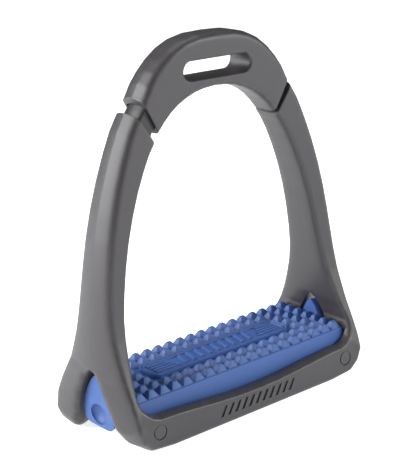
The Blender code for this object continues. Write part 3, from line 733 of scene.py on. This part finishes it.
@dataclass
class LowerFrame:
    """Both arms, the foot bars and the tread floor, moulded as one."""

    rim: tuple[Point, Point] = ((32.9, 121.6), (41.9, 134.4))
    arm: tuple = (
        ((33.3, 121.0), (42.5, 133.5), 0.9, 0.75), ((35.7, 117.5), (46.0, 127.8), 0.9, 0.75),
        ((38.7, 112.0), (50.0, 118.7), 0.9, 0.75), ((42.5, 103.7), (54.0, 107.8), 1.0, 0.75),
        ((45.9, 94.8), (57.3, 96.7), 1.1, 0.7), ((49.0, 84.6), (60.0, 85.2), 1.2, 0.6),
        ((51.4, 74.2), (61.9, 74.4), 1.3, 0.5), ((53.3, 63.8), (63.4, 63.8), 1.4, 0.35),
        ((54.9, 54.2), (64.4, 54.2), 1.6, 0.15), ((56.0, 45.6), (64.9, 45.6), 1.9, 0.0),
        ((57.1, 38.0), (65.1, 38.0), 2.2, 0.0), ((58.0, 31.8), (65.1, 31.8), 2.5, 0.0),
    )
    inner_corner: tuple = ((50.0, 23.6), 9.5)
    bar: tuple[Point, ...] = ((45.5, 14.1), (35.0, 13.4), (23.5, 12.5), (12.0, 11.7), (0.0, 11.4))
    bar_inner_face: float = 21.6
    rim_depth: Point = (7.3, 8.0)
    rim_rise: float = 0.9
    arm_draft: float = 0.8
    leg_draft: float = 0.4
    foot_trim: float = 0.3
    rim_crease: float = 0.55
    jamb_crease: float = 0.8
    edge_in: float = 1.45
    edge_out: float = 1.95
    bar_edge_top: float = 0.8
    bar_edge_bottom: float = 1.7
    pocket_half: Point = (59.3, 22.2)
    floor_half: Point = (55.2, 23.2)
    floor_z: Point = (6.0, 9.0)
    pocket_top: float = 24.0
    pocket_bite: float = 0.05
    rib_bottom: float = 2.0
    rib_half: float = 1.2
    rib_x: tuple[float, ...] = (-26.0, 0.0, 26.0)
    peg_hole_radius: float = 3.0
    peg_x: tuple[float, ...] = (-42.0, -13.0, 13.0, 42.0)
    peg_y: float = 11.5
    ejector_x: float = 53.3
    ejector_z: float = 8.65
    ejector_radius: float = 3.4
    ejector_groove: float = 0.55
    ejector_depth: float = 1.0
    mark_count: int = 11
    mark_half_length: float = 21.4
    mark_z: Point = (4.5, 9.2)
    mark_depth: float = 0.8

    def stations(self, foot: Foot) -> tuple[list[Station], int]:
        """Every section from the neck rim to the middle of the bar, and how many lie above the window.

        Args:
            foot: The front or the rear foot.

        Returns:
            The sections, and the number above the window.
        """
        found = []
        for inner, outer, rise, ridge in self.arm:
            found.append(Station(inner, outer, interpolate(SIDE_PROFILE, inner[1]) - self.arm_draft,
                                 interpolate(SIDE_PROFILE, outer[1]), self.edge_in, self.edge_out, rise,
                                 ridge_crease=ridge))
        above = len(found)
        (in_x, in_z), in_radius = self.inner_corner
        (out_x, out_z), out_radius = foot.corner_out
        for inner, outer, rise, window_in, window_out in foot.leg:
            found.append(Station(inner, outer, interpolate(SIDE_PROFILE, inner[1]) - self.leg_draft,
                                 interpolate(SIDE_PROFILE, outer[1]), self.edge_in, self.edge_out, rise,
                                 window_in, window_out))
        for angle_in, angle_out, rise, window_in, window_out in foot.corner:
            a, b = math.radians(angle_in), math.radians(angle_out)
            inner = (in_x + in_radius * math.cos(a), in_z - in_radius * math.sin(a))
            outer = (out_x + out_radius * math.cos(b), out_z - out_radius * math.sin(b))
            share = angle_in / 90.0
            found.append(Station(inner, outer, interpolate(SIDE_PROFILE, inner[1]),
                                 interpolate(SIDE_PROFILE, outer[1]),
                                 self.edge_in + share * (self.bar_edge_top - self.edge_in),
                                 self.edge_out + share * (self.bar_edge_bottom - self.edge_out),
                                 rise, window_in, window_out))
        for x, top in self.bar:
            found.append(Station((x, top), (x, -self.foot_trim), interpolate(SIDE_PROFILE, top),
                                 SIDE_PROFILE[0][1], self.bar_edge_top, self.bar_edge_bottom, 0.0,
                                 self.bar_inner_face, self.bar_inner_face))
        return found, above

    def half_skin(self, bm: bmesh.types.BMesh, foot: Foot, sign: float) -> None:
        """The control skin of the right side's front or rear half: neck mouth, arm, leg, corner and bar.

        Args:
            bm: The mesh to add to.
            foot: The foot of this half.
            sign: 1 for the front half, -1 for the rear one.
        """
        def placed(points: Iterable[Vector]) -> list[Vector]:
            return [Vector((p.x, sign * p.y, p.z)) for p in points]

        stations, above = self.stations(foot)
        mouth = HEAD.grown(GAP)
        row = start_row(bm, placed(mouth.at_angle(HEAD_ANGLES[0] - 0.6)))
        bmesh.ops.contextual_create(bm, geom=row)
        crease(bm, row, 1.0)
        row = extrude_row(bm, row, placed(mouth.on_line(*self.rim, sink=0.7)))
        row = extrude_row(bm, row, placed(mouth.on_line(*self.rim)))
        rim = Station(*self.rim, *self.rim_depth, self.edge_in, self.edge_out, self.rim_rise)
        row = extrude_row(bm, row, placed(rim.points()))
        crease(bm, row, self.rim_crease)
        previous = row
        for index, station in enumerate(stations):
            row = extrude_row(bm, previous, placed(station.points()))
            if station.ridge_crease:
                crease(bm, [previous[-1], row[-1]], station.ridge_crease)
            if index >= above:
                jamb = [previous[-1], previous[0], row[0], row[-1]]
                bmesh.ops.contextual_create(bm, geom=jamb)
                crease(bm, [previous[0], row[0]], self.jamb_crease)
                crease(bm, [previous[-1], row[-1]], foot.lip_crease)
            previous = row

    def skin(self) -> bmesh.types.BMesh:
        """The frame's control skin: front and rear halves joined, mirrored to the left side."""
        bm = bmesh.new()
        self.half_skin(bm, FRONT_FOOT, 1.0)
        self.half_skin(bm, REAR_FOOT, -1.0)
        bmesh.ops.remove_doubles(bm, verts=bm.verts, dist=0.01)
        mirror_all(bm, "X")
        return bm

    def floor(self) -> list[bmesh.types.BMesh]:
        """The tread floor and the ribs under it."""
        half_x, half_y = self.floor_half
        low, high = self.floor_z
        plates = []
        plate = bmesh.new()
        box(plate, (-half_x, -half_y, low), (half_x, half_y, high))
        plates.append(plate)
        half = self.rib_half
        for x in self.rib_x:
            rib = bmesh.new()
            box(rib, (x - half, -half_y, self.rib_bottom), (x + half, half_y, low + 1.0))
            plates.append(rib)
        rib = bmesh.new()
        box(rib, (-half_x + 1.0, -half, self.rib_bottom + 0.5), (half_x - 1.0, half, low + 1.1))
        plates.append(rib)
        return plates

    def peg_holes(self) -> bmesh.types.BMesh:
        """The holes in the floor for the pad's pegs."""
        tool = bmesh.new()
        for x in self.peg_x:
            for y in (-self.peg_y, self.peg_y):
                place = Matrix.Translation((x, y, sum(self.floor_z) / 2))
                bmesh.ops.create_cone(tool, cap_ends=True, segments=32, radius1=self.peg_hole_radius,
                                      radius2=self.peg_hole_radius, depth=8.0, matrix=place)
        return tool

    def ejector_marks(self) -> bmesh.types.BMesh:
        """The fine round grooves that ejector pins leave at both ends of both bars."""
        tool = bmesh.new()
        face, deep = SIDE_PROFILE[0][1], self.ejector_depth
        near, far = self.ejector_radius - self.ejector_groove, self.ejector_radius
        for x in (-self.ejector_x, self.ejector_x):
            for y in (-face, face):
                ring = start_row(tool, [Vector((x + r, y + d, self.ejector_z))
                                        for r, d in ((near, -deep), (far, -deep), (far, deep), (near, deep))])
                edges = [tool.edges.get(pair) for pair in zip(ring, ring[1:])] + [tool.edges.new(ring[::3])]
                bmesh.ops.spin(tool, geom=ring + edges, cent=(x, y, self.ejector_z), axis=(0.0, 1.0, 0.0),
                               angle=math.tau, steps=48, use_merge=True)
        return tool

    def front_marks(self) -> bmesh.types.BMesh:
        """A plain row of shallow slanted bars on the front of the front bar."""
        tool = bmesh.new()
        low, high = self.mark_z
        face = SIDE_PROFILE[0][1]
        pitch = 2 * self.mark_half_length / self.mark_count
        for index in range(self.mark_count):
            x = (index + 0.5) * pitch - self.mark_half_length
            lean = 0.18 * (high - low)
            outline = [(x - 1.25 - lean, low), (x + 0.35 - lean, low), (x + 1.25 + lean, high),
                       (x - 0.35 + lean, high)]
            slab(tool, [Vector((px, -face - 1.0, pz)) for px, pz in outline],
                 Vector((0.0, 1.0 + self.mark_depth, 0.0)))
        return tool

    def build(self, material: bpy.types.Material) -> bpy.types.Object:
        """Make the piece.

        Args:
            material: The polymer.

        Returns:
            The finished piece.
        """
        obj = link_mesh("foot_frame", self.skin())
        subdivide(obj, SMOOTH_LEVELS)
        for plate in self.floor():
            cut(obj, plate, "UNION")
        ground = bmesh.new()
        box(ground, (-80.0, -40.0, -10.0), (80.0, 40.0, 0.0))
        cut(obj, ground)
        pocket = bmesh.new()
        half_x, half_y = self.pocket_half
        bottom = self.floor_z[1] - self.pocket_bite
        box(pocket, (-half_x, -half_y, bottom), (half_x, half_y, self.pocket_top))
        cut(obj, pocket)
        cut(obj, self.peg_holes())
        cut(obj, self.ejector_marks())
        cut(obj, self.front_marks())
        cut(obj, ring_cutter(TONGUE_PIN_ANGLE, 1.9, -5.95, 12.0))
        bake(obj)
        finish_piece(obj, Body.LOWER, material, ["lower_frame"])
        return obj


# ------------------------------------------------------------------ crown

@dataclass
class Crown:
    """The top of the iron: the leather slot, and a pocket in each end for a neck tongue."""

    end: tuple[Point, Point] = ((31.3, 124.1), (39.3, 138.7))
    limb: tuple = (
        ((30.9, 124.8), (38.8, 139.5), 0.9, 7.7, 0.6), ((28.3, 127.7), (36.3, 144.2), 0.8, 7.6, 0.5),
        ((24.6, 131.1), (32.8, 148.9), 0.6, 7.4, 0.35), ((20.5, 134.0), (28.4, 153.4), 0.4, 7.3, 0.2),
        ((16.1, 136.2), (23.2, 157.3), 0.2, 7.2, 0.0), ((11.4, 137.9), (17.2, 160.1), 0.0, 7.1, 0.0),
        ((6.4, 139.0), (9.6, 161.7), 0.0, 7.1, 0.0), ((0.0, 139.5), (0.0, 162.0), 0.0, 7.1, 0.0),
    )
    edge_in: float = 1.45
    edge_out: float = 1.95
    end_depth: Point = (7.2, 7.8)
    end_rise: float = 0.9
    end_crease: float = 0.55
    limb_draft: float = 0.3
    pocket_angles: tuple[float, ...] = (60.8, 56.0, 48.0, 42.5)
    slot_z: float = 147.6
    slot_half_length: float = 17.9
    slot_half_height: float = 3.95
    slot_lip: float = 1.3

    def skin(self) -> bmesh.types.BMesh:
        """The crown's control skin, mirrored to the full shape."""
        bm = bmesh.new()
        pocket = HEAD.grown(GAP)
        row = start_row(bm, pocket.at_angle(self.pocket_angles[0]))
        bmesh.ops.contextual_create(bm, geom=row)
        crease(bm, row, 1.0)
        for angle in self.pocket_angles[1:]:
            row = extrude_row(bm, row, pocket.at_angle(angle))
        row = extrude_row(bm, row, pocket.on_line(*self.end, sink=-0.7))
        row = extrude_row(bm, row, pocket.on_line(*self.end))
        end = Station(*self.end, *self.end_depth, self.edge_in, self.edge_out, self.end_rise)
        row = extrude_row(bm, row, end.points())
        crease(bm, row, self.end_crease)
        for inner, outer, rise, depth, ridge in self.limb:
            station = Station(inner, outer, depth - self.limb_draft, depth, self.edge_in, self.edge_out, rise)
            new = extrude_row(bm, row, station.points())
            if ridge:
                crease(bm, [row[-1], new[-1]], ridge)
            row = new
        mirror_all(bm, "YX")
        return bm

    def slot_tool(self) -> bmesh.types.BMesh:
        """The leather slot, flared round both its mouths."""
        lip, face = self.slot_lip, self.limb[-1][3]
        arc = [math.radians(a) for a in steps(0.0, 72.0, 6)]
        flare = [(face - lip + lip * math.sin(a), lip * (1.0 - math.cos(a))) for a in arc]
        slope = math.tan(math.radians(72.0))
        flare.append((flare[-1][0] + 0.6, flare[-1][1] + 0.6 * slope))
        levels = [(-y, grow) for y, grow in reversed(flare)] + flare
        centre = self.slot_half_length - self.slot_half_height
        bm = bmesh.new()
        loops = []
        for y, grow in levels:
            radius = self.slot_half_height + grow
            ring = []
            for sign in (1, -1):
                for angle in steps(-90.0, 90.0, 24):
                    a = math.radians(angle)
                    ring.append(bm.verts.new((sign * (centre + radius * math.cos(a)), y,
                                              self.slot_z + sign * radius * math.sin(a))))
            loops.append([bm.edges.new((ring[i - 1], ring[i])) for i in range(len(ring))])
        for lower, upper in zip(loops, loops[1:]):
            bmesh.ops.bridge_loops(bm, edges=lower + upper)
        bmesh.ops.holes_fill(bm, edges=bm.edges, sides=0)
        return bm

    def build(self, material: bpy.types.Material) -> bpy.types.Object:
        """Make the piece.

        Args:
            material: The polymer.

        Returns:
            The finished piece.
        """
        obj = link_mesh("rocking_crown", self.skin())
        subdivide(obj, SMOOTH_LEVELS)
        cut(obj, self.slot_tool())
        cut(obj, ring_cutter(STOP_PIN_ANGLE, 1.6, -6.2, 12.0))
        bake(obj)
        rock_to_rest(obj)
        finish_piece(obj, Body.CROWN, material, ["crown"])
        return obj


def rock_to_rest(obj: bpy.types.Object) -> None:
    """Turn a mesh made upright to the crown's resting tilt about the rock axis."""
    centre = Matrix.Translation((0.0, 0.0, PIVOT_Z * MM))
    turn = Matrix.Rotation(math.radians(REST_ROCK_DEG), 4, "Y")
    obj.data.transform(centre @ turn @ centre.inverted())


# ------------------------------------------------------------------ neck

@dataclass
class NeckTongue:
    """A tongue fixed in one arm, on which the crown slides."""

    side: Side

    def build(self, material: bpy.types.Material) -> bpy.types.Object:
        """Make the piece.

        Args:
            material: The neck polymer.

        Returns:
            The finished piece.
        """
        bm = bmesh.new()
        row = start_row(bm, TAIL.at_angle(TAIL_ANGLES[0]))
        bmesh.ops.contextual_create(bm, geom=row)
        crease(bm, row, 0.8)
        for angle in (14.0, 19.0, TAIL_ANGLES[1] - 0.4):
            row = extrude_row(bm, row, TAIL.at_angle(angle))
        for angle in (HEAD_ANGLES[0], 25.0, 31.0, 37.0, 43.0, 48.0, HEAD_ANGLES[1] - 0.8, HEAD_ANGLES[1]):
            row = extrude_row(bm, row, HEAD.at_angle(angle))
        bmesh.ops.contextual_create(bm, geom=row)
        crease(bm, row, 0.4)
        mirror_all(bm, "Y")
        if self.side is Side.LEFT:
            bmesh.ops.scale(bm, vec=(-1.0, 1.0, 1.0), verts=bm.verts)
        obj = link_mesh(f"{self.side.label}_tongue", bm)
        subdivide(obj, 2)
        cut(obj, ring_cutter(TONGUE_PIN_ANGLE, 1.85, -12.0, 12.0))
        slot = bmesh.new()
        spread = STOP_SLOT_HALF_ANGLE
        outline = [(41.8, -spread), (41.8, 0.0), (41.8, spread), (45.0, spread), (45.0, 0.0), (45.0, -spread)]
        points = []
        for radius, offset in outline:
            x, z = polar(radius, STOP_PIN_ANGLE + offset)
            points.append(Vector((self.side.value * x, -12.0, z + PIVOT_Z)))
        slab(slot, points, Vector((0.0, 24.0, 0.0)))
        cut(obj, slot)
        bake(obj)
        finish_piece(obj, Body.LOWER, material, [f"{self.side.label}_neck_tongue"])
        return obj


@dataclass
class CrossPin:
    """A ground steel pin driven in from the rear."""

    side: Side
    kind: str
    angle: float
    radius: float
    low: float
    high: float
    body: Body

    def build(self, material: bpy.types.Material) -> bpy.types.Object:
        """Make the piece.

        Args:
            material: The steel.

        Returns:
            The finished piece.
        """
        bm = bmesh.new()
        x, z = polar(PIN_RADIUS_PLACE, self.angle)
        rod(bm, (self.side.value * x, z + PIVOT_Z), self.radius, self.low, self.high, 40)
        bevel_edges(bm, sharp_edges(bm, 40.0), 0.3, 3)
        obj = link_mesh(f"{self.side.label}_{self.kind}", bm)
        bake(obj, 30.0)
        if self.body is Body.CROWN:
            rock_to_rest(obj)
        node = {"fixing_pin": "tongue_pin", "stroke_pin": "stop_pin"}[self.kind]
        finish_piece(obj, self.body, material, [f"{self.side.label}_{node}"], 0.5)
        return obj


# ------------------------------------------------------------------ tread pad

@dataclass
class TreadPad:
    """The rubber pad: studs, a plaque, end plugs that fill the side windows, and pegs."""

    half_length: float = 58.95
    half_depth: float = 21.3
    top_half_depth: float = 19.85
    bottom: float = 9.35
    top: float = 20.2
    corner_radius: float = 8.2
    columns: int = 19
    rows: int = 7
    pitch: Point = (6.2, 5.65)
    stud_height: float = 2.75
    stud_valley: float = 0.22
    stud_taper: float = 1.75
    stud_edge: float = 0.22
    plaque_half: Point = (38.9, 7.2)
    plaque_top: float = 22.4
    plug_x: Point = (58.3, 64.0)
    dimple_radii: tuple[float, float, float] = (2.8, 5.5, 4.5)
    dimple_z: float = 10.8
    plug_taper: float = 0.74
    plug_outline: tuple[Point, ...] = (
        (0.0, 5.2), (7.2, 5.3), (9.9, 6.9), (10.6, 10.4), (9.6, 15.6), (7.7, 19.8), (5.6, 23.6),
        (3.0, 26.8), (0.0, 28.7),
    )
    peg_x: tuple[float, ...] = (-42.0, -13.0, 13.0, 42.0)
    peg_y: float = 11.5

    def slab_mesh(self, bm: bmesh.types.BMesh) -> None:
        """The slab under the studs, with rounded lower corners and rounded edges."""
        centre_x = self.half_length - self.corner_radius
        centre_z = self.bottom + self.corner_radius
        right = []
        for angle in steps(-90.0, 0.0, 10):
            a = math.radians(angle)
            right.append((centre_x + self.corner_radius * math.cos(a),
                          centre_z + self.corner_radius * math.sin(a)))
        outline = right + [(self.half_length, self.top), (-self.half_length, self.top)]
        outline += [(-x, z) for x, z in reversed(right)]
        depth = self.half_depth
        faces = slab(bm, [Vector((x, -depth, z)) for x, z in outline], Vector((0.0, 2 * depth, 0.0)))
        for vert in bm.verts:
            if vert.co.z > self.top - 0.01:
                vert.co.y = math.copysign(self.top_half_depth, vert.co.y)
        rims = {edge for face in faces for edge in face.edges}
        bmesh.ops.recalc_face_normals(bm, faces=bm.faces)
        bevel_edges(bm, rims, 0.7, 4)

    def stud_mesh(self, bm: bmesh.types.BMesh) -> None:
        """Rows of pyramid studs round the plaque, each with rounded ridges."""
        field_bm = bmesh.new()
        step_x, step_y = self.pitch
        half_x = step_x / 2 - self.stud_valley
        half_y = step_y / 2 - self.stud_valley
        for i in range(self.columns):
            for j in range(self.rows):
                x = (i - (self.columns - 1) / 2) * step_x
                y = (j - (self.rows - 1) / 2) * step_y
                if abs(x) < self.plaque_half[0] + 1.0 and abs(y) < self.plaque_half[1] - 1.0:
                    continue
                self.one_stud(field_bm, x, y, half_x, half_y)
        mesh = bpy.data.meshes.new("studs")
        field_bm.to_mesh(mesh)
        field_bm.free()
        bm.from_mesh(mesh)
        bpy.data.meshes.remove(mesh)

    def one_stud(self, bm: bmesh.types.BMesh, x: float, y: float, half_x: float, half_y: float) -> None:
        """One stud: a cut-off pyramid with narrow bevels along its ridges and its tip."""
        low = self.top - 0.4
        made = bmesh.ops.create_cube(bm, size=1.0)["verts"]
        reach_x, reach_y = half_x - self.stud_taper, half_y - self.stud_taper
        for vert in made:
            tip = vert.co.z > 0
            wide_x, wide_y = (reach_x, reach_y) if tip else (half_x, half_y)
            vert.co = Vector((x + math.copysign(wide_x, vert.co.x), y + math.copysign(wide_y, vert.co.y),
                              self.top + self.stud_height if tip else low))
        edges = {e for v in made for e in v.link_edges if max(w.co.z for w in e.verts) > low + 0.1}
        bevel_edges(bm, edges, self.stud_edge, 2)

    def plaque_mesh(self, bm: bmesh.types.BMesh) -> None:
        """The raised plaque with a double rim, slanted end stripes and a plain row of bars."""
        plate = bmesh.new()
        half_x, half_y = self.plaque_half
        made = bmesh.ops.create_grid(plate, x_segments=1, y_segments=1, size=1.0)["verts"]
        for vert in made:
            vert.co = Vector((vert.co.x * half_x, vert.co.y * half_y, self.top - 0.4))
        bmesh.ops.bevel(plate, geom=list(plate.verts), offset=4.0, offset_type="OFFSET", segments=8,
                        profile=0.5, affect="VERTICES", material=-1)
        face = max(plate.faces, key=lambda f: f.calc_area())
        kept = bmesh.ops.extrude_face_region(plate, geom=[face], use_keep_orig=True)["geom"]
        lifted = [v for v in kept if isinstance(v, bmesh.types.BMVert)]
        bmesh.ops.translate(plate, vec=(0.0, 0.0, self.plaque_top - self.top + 0.4), verts=lifted)
        bmesh.ops.recalc_face_normals(plate, faces=plate.faces)
        top = max(plate.faces, key=lambda f: f.calc_center_median().z)
        for width, drop in ((0.75, 0.0), (0.08, -0.7), (0.7, 0.0), (0.08, 0.55), (0.6, 0.0), (0.08, -0.8)):
            bmesh.ops.inset_region(plate, faces=[top], thickness=width, depth=drop)
        field_z = self.plaque_top - 0.95
        for sign in (-1, 1):
            for row in range(4):
                y = -3.3 + 2.2 * row
                inner = 22.5 + 1.3 * row
                outline = [(inner - 0.5, y - 0.6), (35.2, y - 0.6), (35.2, y + 0.6), (inner + 0.5, y + 0.6)]
                points = [Vector((sign * px, py, field_z - 0.2)) for px, py in outline]
                slab(plate, points, Vector((0.0, 0.0, 1.05)))
        for index in range(9):
            x = (index - 4) * 4.6
            outline = [(x - 1.6, -3.8), (x + 0.2, -3.8), (x + 1.6, 3.8), (x - 0.2, 3.8)]
            slab(plate, [Vector((px, py, field_z - 0.2)) for px, py in outline], Vector((0.0, 0.0, 1.05)))
        bmesh.ops.recalc_face_normals(plate, faces=plate.faces)
        bevel_edges(plate, [e for e in sharp_edges(plate, 40.0)
                            if min(v.co.z for v in e.verts) > self.top + 0.1], 0.12, 2)
        mesh = bpy.data.meshes.new("plaque")
        plate.to_mesh(mesh)
        plate.free()
        bm.from_mesh(mesh)
        bpy.data.meshes.remove(mesh)

    def plug_mesh(self, side: Side) -> bmesh.types.BMesh:
        """An end plug with a rounded outline, as a Boolean tool."""
        right = self.plug_outline
        outline = list(right) + [(-y, z) for y, z in reversed(right[1:-1])]
        low, high = self.plug_x
        bm = bmesh.new()
        points = [Vector((side.value * low, y, z)) for y, z in outline]
        near, _ = slab(bm, points, Vector((side.value * (high - low), 0.0, 0.0)))
        bmesh.ops.scale(bm, vec=(1.0, self.plug_taper, 1.0), verts=near.verts)
        bmesh.ops.recalc_face_normals(bm, faces=bm.faces)
        bevel_edges(bm, [e for e in bm.edges if abs(e.verts[0].co.x - e.verts[1].co.x) > 1.0], 1.6, 4)
        bevel_edges(bm, sharp_edges(bm, 50.0), 0.6, 3)
        return bm

    def dimple(self, side: Side) -> bmesh.types.BMesh:
        """The oval dimple in a plug's outer face."""
        bm = bmesh.new()
        bmesh.ops.create_uvsphere(bm, u_segments=48, v_segments=24, radius=1.0)
        bmesh.ops.scale(bm, vec=self.dimple_radii, verts=bm.verts)
        bmesh.ops.translate(bm, vec=(side.value * (self.plug_x[1] + 0.2), 0.0, self.dimple_z), verts=bm.verts)
        return bm

    def pegs(self) -> bmesh.types.BMesh:
        """The pegs with snap heads that hold the pad on the floor."""
        bm = bmesh.new()
        profile = [(0.0, 3.0), (2.9, 3.0), (3.7, 4.6), (3.7, 5.4), (2.5, 5.4), (2.5, self.bottom + 1.0),
                   (0.0, self.bottom + 1.0)]
        for x in self.peg_x:
            for y in (-self.peg_y, self.peg_y):
                row = start_row(bm, [Vector((x + r, y, z)) for r, z in profile])
                edges = [bm.edges.get(pair) for pair in zip(row, row[1:])]
                bmesh.ops.spin(bm, geom=row + edges, cent=(x, y, 0.0), axis=(0.0, 0.0, 1.0),
                               angle=math.tau, steps=24, use_merge=True)
        bmesh.ops.remove_doubles(bm, verts=bm.verts, dist=0.001)
        bmesh.ops.recalc_face_normals(bm, faces=bm.faces)
        return bm

    def build(self, material: bpy.types.Material) -> bpy.types.Object:
        """Make the piece.

        Args:
            material: The blue rubber.

        Returns:
            The finished piece.
        """
        bm = bmesh.new()
        self.slab_mesh(bm)
        self.stud_mesh(bm)
        self.plaque_mesh(bm)
        obj = link_mesh("rubber_tread", bm)
        cut(obj, self.pegs(), "UNION")
        for side in Side:
            cut(obj, self.plug_mesh(side), "UNION")
            cut(obj, self.dimple(side))
        for mod in obj.modifiers:
            mod.use_self = True
        bake(obj, 28.0)
        finish_piece(obj, Body.LOWER, material, ["tread_pad"], 0.6)
        return obj


# ------------------------------------------------------------------ studio

@dataclass
class Studio:
    """The camera, the floor and the lights."""

    azimuth: float = -39.66
    elevation: float = 18.58
    roll: float = -2.09
    distance: float = 607.05
    target: tuple[float, float, float] = (-1.739, 0.0, 73.11)
    lens: float = 107.56
    softboxes: tuple = (
        ("left_rear_softbox", -125.0, 24.0, 1.2, (0.7, 1.0), 24.0),
        ("right_front_softbox", 42.0, 22.0, 1.3, (0.5, 0.9), 12.0),
        ("front_strip", -4.0, 26.0, 1.4, (0.12, 1.4), 4.0),
        ("top_softbox", 150.0, 72.0, 1.2, (0.8, 0.8), 4.0),
    )
    world: float = 0.08
    floor_glow: float = 0.8

    def camera(self) -> None:
        """Set up the camera, from the front left and a little above."""
        az, el, roll = (math.radians(a) for a in (self.azimuth, self.elevation, self.roll))
        back = Vector((math.sin(az) * math.cos(el), -math.cos(az) * math.cos(el), math.sin(el)))
        level = (-back).cross(Vector((0.0, 0.0, 1.0))).normalized()
        upright = level.cross(-back)
        right = level * math.cos(roll) + upright * math.sin(roll)
        up = upright * math.cos(roll) - level * math.sin(roll)
        place = (Vector(self.target) + back * self.distance) * MM
        data = bpy.data.cameras.new("studio_camera")
        data.lens = self.lens
        data.sensor_width = 36.0
        data.clip_start = 0.01
        camera = bpy.data.objects.new("studio_camera", data)
        camera.matrix_world = Matrix((
            (right.x, up.x, back.x, place.x), (right.y, up.y, back.y, place.y),
            (right.z, up.z, back.z, place.z), (0.0, 0.0, 0.0, 1.0)))
        bpy.context.scene.collection.objects.link(camera)
        bpy.context.scene.camera = camera

    def floor(self) -> None:
        """Lay a plain pale floor."""
        bm = bmesh.new()
        bmesh.ops.create_grid(bm, x_segments=1, y_segments=1, size=6000.0)
        obj = link_mesh("studio_floor", bm)
        mat, _, shader = new_material("studio_floor")
        shader.inputs["Base Color"].default_value = (0.8, 0.8, 0.8, 1.0)
        shader.inputs["Emission Color"].default_value = (1.0, 1.0, 1.0, 1.0)
        shader.inputs["Emission Strength"].default_value = self.floor_glow
        shader.inputs["Roughness"].default_value = 0.9
        shader.inputs["Specular IOR Level"].default_value = 0.1
        obj.data.materials.append(mat)

    def lights(self) -> None:
        """Hang the softboxes round the object and set the room's own light."""
        aim = Vector((0.0, 0.0, 0.07))
        for name, azimuth, elevation, distance, size, power in self.softboxes:
            az, el = math.radians(azimuth), math.radians(elevation)
            way = Vector((math.sin(az) * math.cos(el), -math.cos(az) * math.cos(el), math.sin(el)))
            data = bpy.data.lights.new(name, "AREA")
            data.shape = "RECTANGLE"
            data.size, data.size_y = size
            data.energy = power
            light = bpy.data.objects.new(name, data)
            light.location = aim + way * distance
            light.rotation_euler = way.to_track_quat("Z", "Y").to_euler()
            bpy.context.scene.collection.objects.link(light)
        world = bpy.data.worlds.new("studio_room")
        world.use_nodes = True
        world.node_tree.nodes["Background"].inputs["Color"].default_value = (1.0, 1.0, 1.0, 1.0)
        world.node_tree.nodes["Background"].inputs["Strength"].default_value = self.world
        bpy.context.scene.world = world
        bpy.context.scene.view_settings.view_transform = "Standard"

    def build(self) -> None:
        """Set up the whole studio."""
        self.camera()
        self.floor()
        self.lights()


# ------------------------------------------------------------------ assembly

def main() -> None:
    """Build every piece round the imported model."""
    logging.basicConfig(level=logging.INFO, format="%(name)s %(message)s")
    Studio().build()
    effects = SharedEffects.build()
    charcoal = PolymerFinish("charcoal_polymer", (0.041, 0.038, 0.042), (0.12, 0.115, 0.12), 0.42, 1.6, 2000.0,
                             True).build(effects)
    neck = PolymerFinish("neck_polymer", (0.02, 0.019, 0.021), (0.05, 0.048, 0.05), 0.45, 0.3, 3200.0,
                         False).build(effects)
    blue = RubberFinish("blue_rubber", (0.04, 0.105, 0.33), (0.09, 0.19, 0.47), 0.55).build(effects)
    black = RubberFinish("black_rubber", (0.02, 0.02, 0.02), (0.06, 0.06, 0.06), 0.7).build(effects)
    steel = SteelFinish().build(effects)
    LowerFrame().build(charcoal)
    Crown().build(charcoal)
    for side in Side:
        NeckTongue(side).build(neck)
        CrossPin(side, "fixing_pin", TONGUE_PIN_ANGLE, 1.5, -5.6, 7.4, Body.LOWER).build(steel)
        CrossPin(side, "stroke_pin", STOP_PIN_ANGLE, 1.25, -5.8, 6.4, Body.CROWN).build(steel)
        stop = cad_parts[f"{side.label}_buffer"]
        stop.data.materials.clear()
        stop.data.materials.append(black)
        LOG.info("%s: kept from the frame", stop.name)
    TreadPad().build(blue)


if __name__ == "__main__":
    main()
